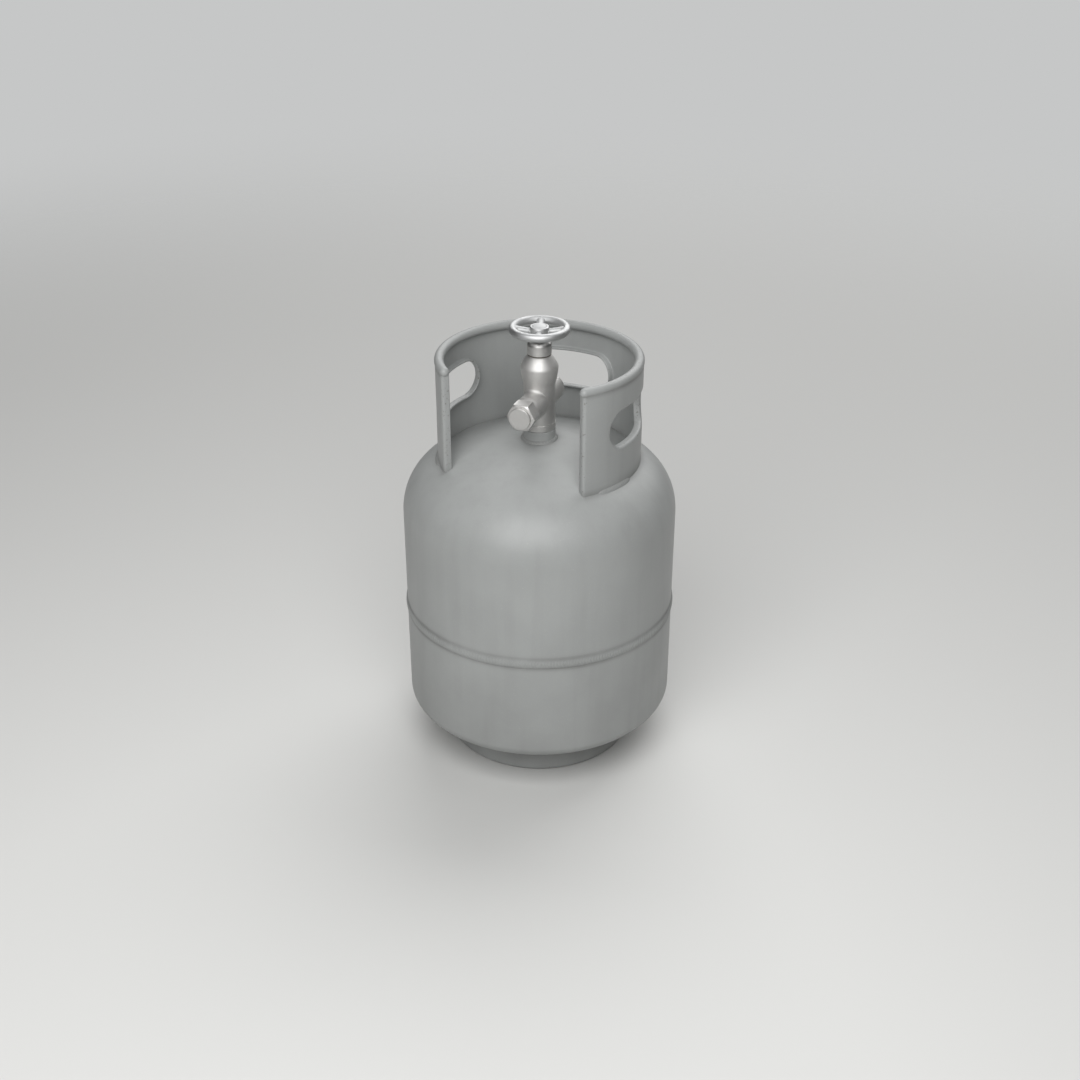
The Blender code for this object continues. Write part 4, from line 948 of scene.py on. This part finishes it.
# %% Valve column
VALVE_BASE = SPUD_TOP + GAP
SHANK_END = low("valve_body").z
BODY_TOP = high("valve_body").z
FLANGE_RADIUS = 17.7 * MM
FLANGE_TOP = VALVE_BASE + 7.5 * MM
COLUMN_RADIUS = 17.2 * MM
BULB_RADIUS = high("valve_body").x
BULB_FOOT = VALVE_BASE + 51.3 * MM
BULB_WIDEST = VALVE_BASE + 71.2 * MM
BULB_TOP_RADIUS = 13.3 * MM
BULB_BEVEL = 0.6 * MM
BULB_FALL = 1.3


def bulb_profile(steps=14):
    """A sine swell to the widest ring, then a fall as 1 - t^1.3 to the neck."""
    t = np.linspace(0, 1, steps + 1)
    swell = COLUMN_RADIUS + (BULB_RADIUS - COLUMN_RADIUS) * np.sin(t * np.pi / 2)
    fall = BULB_TOP_RADIUS + (BULB_RADIUS - BULB_TOP_RADIUS) * (1 - t**BULB_FALL)
    lower = np.column_stack([swell, BULB_FOOT + (BULB_WIDEST - BULB_FOOT) * t, 0 * t])
    upper = np.column_stack([fall, BULB_WIDEST + (BODY_TOP - BULB_BEVEL - BULB_WIDEST) * t, 0 * t])
    return np.concatenate([lower, upper[1:]])


column_foot = rounded([
    (0.0, SHANK_END, 0.0), (SHANK_RADIUS - SHANK_TAPER, SHANK_END, 0.5 * MM),
    (SHANK_RADIUS, VALVE_BASE, 0.0), (FLANGE_RADIUS, VALVE_BASE, 0.6 * MM),
    (FLANGE_RADIUS, FLANGE_TOP, 0.45 * MM), (COLUMN_RADIUS, FLANGE_TOP, 0.0),
])
column_profile = np.concatenate([
    column_foot, bulb_profile(), [(BULB_TOP_RADIUS - BULB_BEVEL, BODY_TOP, 0.0), (0.0, BODY_TOP, 0.0)],
])
valve_column = turned(column_profile, ring=False)
print("valve column:", len(column_profile), "rings")

# %% [markdown]
# The cross barrel is a row of sections: the flare, turned rows, and on the outlet's spigot a thread,
# which is a ridge that climbs one pitch each turn. A Screw modifier could wind it. As a wave in the
# radius it stays one surface with the barrel. It is left-handed, as fuel gas threads are.

# %% Sections of the cross barrel
CROSS_RADIUS = 14.8 * MM
FORGED_RADIUS = 3.5 * MM
FLARE_STEPS = np.linspace(0, 1, 10)[:, None]
BARREL_ROOT = 5.0 * MM
BARREL_SINK = 0.2 * MM
BARREL_TURN = full_turn(VALVE_SIDES)
THREAD_PITCH = 1.814 * MM
THREAD_DEPTH = 0.9 * MM
THREAD_ROWS = 96
THREAD_STEEP, THREAD_FLAT = 1.3, 0.15
SPIGOT_RADIUS = 10.5 * MM


def flare_rows():
    """Rows from the column's axis to its face at sqrt(R^2 - (r sin p)^2), and the flare there.

    It adds f (1 - sqrt(1 - (1 - t)^2)) cos^2 p to the radius, t from 0 to 1 over the forging radius f.
    """
    p, t = BARREL_TURN, FLARE_STEPS
    radius = CROSS_RADIUS + FORGED_RADIUS * (1 - np.sqrt(1 - (1 - t) ** 2)) * np.cos(p) ** 2
    inside = COLUMN_RADIUS - BARREL_SINK
    face = np.sqrt(np.clip(inside**2 - (CROSS_RADIUS * np.sin(p)) ** 2, 0, None))
    r = np.concatenate([0 * p[None], radius[:1], radius])
    root = BARREL_ROOT + 0 * p[None]
    return [r, np.concatenate([root, root, face + t * FORGED_RADIUS]), 0 * r]


def thread_rows(start, end):
    """Radius = major - depth wave(z / pitch + turn), fading out over half a pitch at both ends."""
    z = np.linspace(start, end, THREAD_ROWS)[:, None]
    phase = z / THREAD_PITCH + BARREL_TURN / (2 * np.pi)
    wave = np.abs(2 * (phase - np.floor(phase)) - 1)
    fade = np.clip(np.minimum(z - start, end - z) / (THREAD_PITCH / 2), 0, 1)
    r = SPIGOT_RADIUS - THREAD_DEPTH * fade * np.clip(THREAD_STEEP * wave - THREAD_FLAT, 0, 1)
    return [r, z + 0 * r, 0 * r]


def barrel(*sections):
    """Sections of rows as one patch round the barrel's axis; angles count from its top or bottom."""
    r, z, wear = (np.concatenate(part) for part in zip(*sections))
    return grid(cylinder(r, BARREL_TURN, z), wear, around=True)


print(f"thread: {THREAD_PITCH / MM:.3f} mm pitch, {THREAD_DEPTH / MM:.1f} mm deep")

# %% Cross barrel
OUTLET_Z = (low("outlet_cap").z + high("outlet_cap").z) / 2
CROSS_FRONT = 39.3 * MM
CROSS_REAR = high("valve_body").y
CROSS_CHAMFER = (5.5 * MM, 2.2 * MM)
FRONT_LEAD, REAR_LEAD = 2.0 * MM, 6.0 * MM
SPIGOT_END = -low("valve_body").y
SPIGOT_BEVEL = (0.6 * MM, 0.5 * MM)
OUTLET_BORE = 6.5 * MM
OUTLET_BORE_DEPTH = 28.0 * MM
RELIEF_BORE = 9.0 * MM
RELIEF_FLOOR = 18.0 * MM
REAR_CHAMFER = 1.5 * MM
front_profile = rounded([
    (CROSS_RADIUS, CROSS_FRONT - CROSS_CHAMFER[0] - FRONT_LEAD, 0.0),
    (CROSS_RADIUS, CROSS_FRONT - CROSS_CHAMFER[0], 1.2 * MM),
    (CROSS_RADIUS - CROSS_CHAMFER[1], CROSS_FRONT, 0.4 * MM),
    (SPIGOT_RADIUS, CROSS_FRONT, 0.0),
])
spigot_profile = rounded([
    (SPIGOT_RADIUS - SPIGOT_BEVEL[1], SPIGOT_END, 0.0), (OUTLET_BORE, SPIGOT_END, 0.4 * MM),
    (OUTLET_BORE, SPIGOT_END - OUTLET_BORE_DEPTH, 0.0), (0.0, SPIGOT_END - OUTLET_BORE_DEPTH, 0.0),
])
rear_profile = rounded([
    (CROSS_RADIUS, CROSS_REAR - REAR_LEAD, 0.0), (CROSS_RADIUS, CROSS_REAR - REAR_CHAMFER, 0.5 * MM),
    (CROSS_RADIUS - REAR_CHAMFER, CROSS_REAR, 0.4 * MM), (RELIEF_BORE, CROSS_REAR, 0.3 * MM),
    (RELIEF_BORE, RELIEF_FLOOR, 0.0), (0.0, RELIEF_FLOOR, 0.0),
])
front_barrel = barrel(
    flare_rows(), rows(front_profile, BARREL_TURN),
    thread_rows(CROSS_FRONT, SPIGOT_END - SPIGOT_BEVEL[0]), rows(spigot_profile, BARREL_TURN),
)
rear_barrel = barrel(flare_rows(), rows(rear_profile, BARREL_TURN))
make_piece(
    "valve_body_forged", [valve_column, laid(front_barrel, -1, OUTLET_Z), laid(rear_barrel, 1, OUTLET_Z)],
    nickel, "tank", "valve_body",
)

# %% [markdown]
# ## Bonnet and gasket
#
# The bonnet is a plain turned neck with a generous round on top, and a thin gasket shows as a dark line
# under it. A bevelled cylinder would do for either, but a turned profile also gives the bore and the
# shank inside.

# %% Bonnet
BONNET_RADIUS = high("bonnet").x
BONNET_TOP = high("bonnet").z
BONNET_LOW = high("bonnet_gasket").z + GAP
BONNET_SHANK = 9.0 * MM
STEM_RADIUS = 5.0 * MM
bonnet_profile = rounded([
    (STEM_RADIUS + GAP, BONNET_TOP, 0.5 * MM), (BONNET_RADIUS, BONNET_TOP, 4.8 * MM),
    (BONNET_RADIUS, BONNET_LOW, 0.5 * MM), (BONNET_SHANK, BONNET_LOW, 0.0),
    (BONNET_SHANK, low("bonnet").z, 0.4 * MM), (STEM_RADIUS + GAP, low("bonnet").z, 0.0),
], steps=10)
make_piece("bonnet_turned", [turned(bonnet_profile)], nickel, "tank", "bonnet")

# %% Bonnet gasket
gasket_low, gasket_high = low("bonnet_gasket").z, high("bonnet_gasket").z
gasket_profile = rounded([
    (high("bonnet_gasket").x, gasket_low, 0.3 * MM), (high("bonnet_gasket").x, gasket_high, 0.3 * MM),
    (BONNET_SHANK + GAP, gasket_high, 0.0), (BONNET_SHANK + GAP, gasket_low, 0.0),
])
make_piece("bonnet_gasket_ring", [turned(gasket_profile)], fibre, "tank", "bonnet_gasket")

# %% [markdown]
# ## Outlet cap
#
# A hexagonal cap nut with a round face. A 30 degree cone cuts back its front corners, which leaves
# curved edges on the flats. A Boolean would give them, but a formula does too: the radius is the smaller
# of the hexagon's and the cone's.

# %% Outlet cap
CAP_START = -high("outlet_cap").y
CAP_FRONT = -low("outlet_cap").y
CAP_DISC_HEIGHT = 3.5 * MM
CAP_DISC_RADIUS = 12.0 * MM
CAP_FLATS = high("outlet_cap").z - low("outlet_cap").z
CAP_BORE = SPIGOT_RADIUS + GAP
CAP_FLOOR = SPIGOT_END + 2.1 * MM
CAP_MOUTH = 1.5 * MM
CORNER_RUB, RUB_FROM = 1.5 * MM, 0.4
CAP_ROWS = 26
CONE_SLOPE = 1.0 / math.tan(math.radians(30.0))
CONE_SINK = 0.1 * MM


def hexagon_radius(p):
    """Radius of a hexagon with corners left and right: half its width / cos of the angle from a flat."""
    turn = np.mod(p, np.pi / 3) - np.pi / 6
    return CAP_FLATS / 2 / np.cos(turn)


def cap_patch():
    """A blind bore, the smaller of hexagon and cone with rows close at both ends, and the face."""
    p = full_turn(2 * VALVE_SIDES)
    hexagon_end = CAP_FRONT - CAP_DISC_HEIGHT
    share = 0.5 - 0.5 * np.cos(np.linspace(0, np.pi, CAP_ROWS))[:, None]
    z = CAP_START + (hexagon_end - CAP_START) * share
    cone = CAP_FLATS / 2 - CONE_SINK + CONE_SLOPE * (hexagon_end - z)
    side = np.minimum(hexagon_radius(p), cone)
    corner_wear = np.clip((hexagon_radius(p) - CAP_FLATS / 2) / CORNER_RUB - RUB_FROM, 0, 1)
    face = rounded([
        (CAP_DISC_RADIUS, hexagon_end, 0.0), (CAP_DISC_RADIUS, CAP_FRONT, 0.6 * MM), (0.0, CAP_FRONT, 0.0),
    ])
    bore = rounded([
        (0.0, CAP_FLOOR, 0.0), (CAP_BORE, CAP_FLOOR, 0.0), (CAP_BORE, CAP_START, 0.5 * MM),
        (CAP_BORE + CAP_MOUTH, CAP_START, 0.0),
    ])
    outside = [side, z + 0 * p, corner_wear + 0 * z]
    return spun([rows(bore, p), outside, rows(face, p)], p)


make_piece(
    "outlet_cap_nut", [laid(cap_patch(), -1, OUTLET_Z)], nickel, "cap", "outlet_cap",
)

# %% [markdown]
# ## Handwheel
#
# A die casting: a round rim, four arched spokes and a hub that a domed plug closes. A torus and
# cylinders would meet in hard corners. Here each spoke is a section carried from hub to rim, flared at
# both ends, as a casting must be to fill and not to crack. A low ridge round the rim is where the die's
# halves met.

# %% Wheel rim
HUB_LOW = low("handwheel").z
WHEEL_Z = HUB_LOW + 10.1 * MM
WHEEL_TUBE = 4.3 * MM
WHEEL_RADIUS = 28.7 * MM
WHEEL_SIDES, TUBE_SIDES = 160, 48
PARTING_RIDGE, RIDGE_WIDTH = 0.15 * MM, 0.01
RIM_POLISH = 0.7


def wheel_rim():
    """A torus: (R + r cos p) round the axis, r sin p up, with a low ridge at p = 0 and half a turn.

    Fingers rub its upper outer side, so wear follows the cosine of the angle from there.
    """
    p = full_turn(TUBE_SIDES)
    tube = WHEEL_TUBE + PARTING_RIDGE * (np.abs(np.sin(p)) < RIDGE_WIDTH)
    wear = RIM_POLISH * np.clip(np.cos(p - np.pi / 4), 0, 1)
    profile = np.stack([WHEEL_RADIUS + tube * np.cos(p), WHEEL_Z + tube * np.sin(p), wear], -1)
    return turned(profile, WHEEL_SIDES)


print(f"handwheel: {2 * (WHEEL_RADIUS + WHEEL_TUBE) / MM:.1f} mm across")

# %% Spokes
HUB_RADIUS = 10.5 * MM
SPOKE_WIDTHS = (7.0 * MM, 8.6 * MM)
SPOKE_HEIGHTS = (6.0 * MM, 7.2 * MM)
SPOKE_MIDDLES = (WHEEL_Z - 2.5 * MM, WHEEL_Z)
SPOKE_ENDS = (HUB_RADIUS - 1.2 * MM, WHEEL_RADIUS - 0.5 * MM)
SPOKE_SIDES, SPOKE_ROWS = 36, 30
SPOKE_FLARE = 2.6 * MM
FLARE_WIDTH = 1.1 * MM
FLARE_LIMIT = 1.2
TOP_POWER, UNDERSIDE_POWER = 1.0, 0.4


def capped(points):
    """A tube closed at both ends: each end ring is drawn to its middle."""
    ends = [np.broadcast_to(points[i].mean(0), points[i].shape)[None] for i in (0, -1)]
    return grid(np.concatenate([ends[0], points, ends[1]]), around=True)


def spoke(turn):
    """Section |cos|^k, |sin|^k (k smaller below, so the underside is flat), carried outwards.

    Width, height and middle go from hub to rim in straight lines. At both ends a flare (1 - d / f)^2
    is added, d being the distance from the hub's or the rim's face and f the flare's length.
    """
    q = full_turn(SPOKE_SIDES)
    along = np.linspace(*SPOKE_ENDS, SPOKE_ROWS)[:, None]
    share = (along - HUB_RADIUS) / (WHEEL_RADIUS - HUB_RADIUS)
    pairs = SPOKE_WIDTHS, SPOKE_HEIGHTS, SPOKE_MIDDLES
    width, height, middle = (at_hub + (at_rim - at_hub) * share for at_hub, at_rim in pairs)
    to_hub, to_rim = along - HUB_RADIUS, WHEEL_RADIUS - WHEEL_TUBE - along
    flare = sum(np.clip(1 - d / SPOKE_FLARE, 0, FLARE_LIMIT) ** 2 for d in (to_hub, to_rim)) * FLARE_WIDTH
    power = np.where(np.sin(q) > 0, TOP_POWER, UNDERSIDE_POWER)
    side = np.sign(np.cos(q)) * np.abs(np.cos(q)) ** power * (width / 2 + flare)
    up = np.sign(np.sin(q)) * np.abs(np.sin(q)) ** power * height / 2
    x = along * math.cos(turn) - side * math.sin(turn)
    y = along * math.sin(turn) + side * math.cos(turn)
    return capped(np.stack(np.broadcast_arrays(x, y, middle + up), -1))


print(f"spokes {SPOKE_WIDTHS[0] / MM:.1f} to {SPOKE_WIDTHS[1] / MM:.1f} mm wide")

# %% Hub and whole wheel
HUB_TOP = HUB_LOW + 13.3 * MM
HUB_POCKET = 7.8 * MM
POCKET_FLOOR = HUB_TOP - 6.2 * MM
SQUARE_HALF = 3.8 * MM
WHEEL_TURN = math.radians(18.0)
SPOKE_COUNT = 4


def hub():
    """A turned boss with a pocket for the nut and a bore that the stem's square fills."""
    bore = SQUARE_HALF * math.sqrt(2.0)
    profile = rounded([
        (HUB_RADIUS, HUB_LOW, 0.8 * MM), (HUB_RADIUS, HUB_TOP, 1.6 * MM), (HUB_POCKET, HUB_TOP, 0.3 * MM),
        (HUB_POCKET, POCKET_FLOOR, 0.0), (bore, POCKET_FLOOR, 0.0), (bore, HUB_LOW, 0.0),
    ])
    return turned(profile)


spokes = [spoke(WHEEL_TURN + k * 2 * math.pi / SPOKE_COUNT) for k in range(SPOKE_COUNT)]
make_piece(
    "handwheel_cast", [wheel_rim(), hub(), *spokes], casting, "wheel", "handwheel",
)

# %% Plug over the nut
cap_radius, cap_top, cap_low = high("wheel_cap").x, high("wheel_cap").z, low("wheel_cap").z
dome_height = cap_top - HUB_TOP
dome_sphere = (cap_radius**2 + dome_height**2) / (2 * dome_height)
dome_edge = math.asin(cap_radius / dome_sphere)
plug_profile = np.concatenate([
    arc((0.0, cap_top - dome_sphere), dome_sphere, math.pi / 2, math.pi / 2 - dome_edge, steps=14),
    [(cap_radius, cap_low, 0.0), (0.0, cap_low, 0.0)],
])
plug_profile[0, 0] = 0.0
make_piece("wheel_cap_plug", [turned(plug_profile, ring=False)], casting, "wheel", "wheel_cap")

# %% [markdown]
# ## Relief spring
#
# The coil behind the relief poppet is hidden, but it is made as what it is: a wire on a helix. A Screw
# modifier would shear the wire's circle, so a formula sets it square to the helix.

# %% Relief spring
SPRING_WIRE = 1.2 * MM
SPRING_TURNS = 4.0
SPRING_RADIUS = 6.0 * MM
WIRE_ROWS, WIRE_SIDES = 240, 14
spring_head, spring_foot = low("relief_spring").y, high("relief_spring").y


def coil():
    """Centre line radius (cos a, sin a), rising with a; wire radius (first normal cos q + second sin q)."""
    a = np.linspace(0, 2 * np.pi * SPRING_TURNS, WIRE_ROWS)[:, None]
    q = full_turn(WIRE_SIDES)[None, :, None]
    start, end = spring_head + SPRING_WIRE / 2, spring_foot - SPRING_WIRE / 2
    rise = (end - start) / (2 * np.pi * SPRING_TURNS)
    slope = math.hypot(SPRING_RADIUS, rise)
    normal = np.stack([np.cos(a), np.sin(a), 0 * a], -1)
    second = np.stack([-np.sin(a) * rise, np.cos(a) * rise, 0 * a - SPRING_RADIUS], -1) / slope
    line = np.stack([SPRING_RADIUS * np.cos(a), SPRING_RADIUS * np.sin(a), start + rise * a], -1)
    return capped(line + SPRING_WIRE / 2 * (normal * np.cos(q) + second * np.sin(q)))


spring = make_piece(
    "relief_spring_coil", [laid(coil(), 1, OUTLET_Z)], stainless, "tank", "relief_spring",
)
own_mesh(spring)

# %% [markdown]
# ## Pieces that stay as they are
#
# What is hidden in the valve, or shows as a few millimetres only, could be made as a finer surface too.
# No view would show the difference, so these pieces keep their CAD solids and only get a finish.

# %% Finishes for the remaining solids
KEPT_SOLIDS = {
    stainless: ("stem", "wheel_washer", "wheel_nut"),
    nickel: ("relief_retainer", "relief_poppet", "seat_holder"),
    rubber: ("stem_o_ring_lower", "stem_o_ring_upper", "cap_gasket", "relief_seal"),
    nylon: ("seat_disc",),
}
for finish, nodes in KEPT_SOLIDS.items():
    for node in nodes:
        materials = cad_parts[node].data.materials
        materials.clear()
        materials.append(finish)
    print(finish.name, "on", ", ".join(nodes))

# %% [markdown]
# ## Studio
#
# A pale floor, a soft lamp close by, above and in front, and a very large one far behind. The near lamp
# gives the enamel a broad highlight on the shoulder that fades down the wall. The far one lights the
# floor evenly and draws a thin edge on rim and wheel. A dim sky keeps the shadows open. Far out, the
# floor fades into a pale backdrop, so no horizon shows.

# %% Floor
FLOOR_SIZE = 8.0
FADE_START, FADE_END = 1.3, 3.2
FLOOR_CORNERS = FLOOR_SIZE / 2 * np.array([(-1, -1, 0), (1, -1, 0), (1, 1, 0), (-1, 1, 0)])
floor_mesh = bpy.data.meshes.new("floor")
floor_mesh.from_pydata(FLOOR_CORNERS.tolist(), [], [(0, 1, 2, 3)])
floor = in_scene("floor", floor_mesh)
# Painted and matt: an even pale grey that only takes soft shadows.
floor_finish = moulded("pale_studio_floor", "#CFCFCD", "#CDCDCB", 0.8, grain_mm=900.0)
floor_tree = floor_finish.node_tree
floor_place = add(floor_tree, "TexCoord", output="Object")
far_off = add(floor_tree, "VectorMath", None, {0: floor_place}, output="Value", operation="LENGTH")
fade = add(
    floor_tree, "MapRange", {1: FADE_START, 2: FADE_END, 3: 1.0, 4: 0.0}, {0: far_off},
    interpolation_type="SMOOTHSTEP",
)
fill(floor_tree, floor_tree.nodes["Principled BSDF"], None, {"Alpha": fade})
floor_mesh.materials.append(floor_finish)

# %% Light


def soft_lamp(name, azimuth, elevation, distance, size, power):
    """A square area lamp that looks at the tank's middle."""
    lamp = in_scene(name, bpy.data.lights.new(name, "AREA"))
    lamp.data.energy = power
    lamp.data.size = size
    lamp.location = camera_target + from_angles(math.radians(azimuth), math.radians(elevation), distance)
    look_at(lamp, camera_target)
    print(name, "lit")


soft_lamp("key_lamp", azimuth=12.0, elevation=44.0, distance=1.7, size=1.6, power=34.0)
soft_lamp("back_lamp", azimuth=183.0, elevation=42.0, distance=7.5, size=8.0, power=520.0)

# %% Sky and backdrop
SKY_STRENGTH = 0.045
world = bpy.data.worlds.new("pale_sky")
world.use_nodes = True
sky = world.node_tree
dim_sky = add(sky, "Background", {"Color": linear("#E4E6E8"), "Strength": SKY_STRENGTH})
backdrop = add(sky, "Background", {"Color": linear("#C6C7C7")})
seen = add(sky, "LightPath", output="Is Camera Ray")
both = add(sky, "MixShader", None, {0: seen, 1: dim_sky, 2: backdrop})
fill(sky, sky.nodes["World Output"], None, {"Surface": both})
bpy.context.scene.world = world
bpy.context.scene.view_settings.view_transform = "Standard"
print("sky and backdrop set")
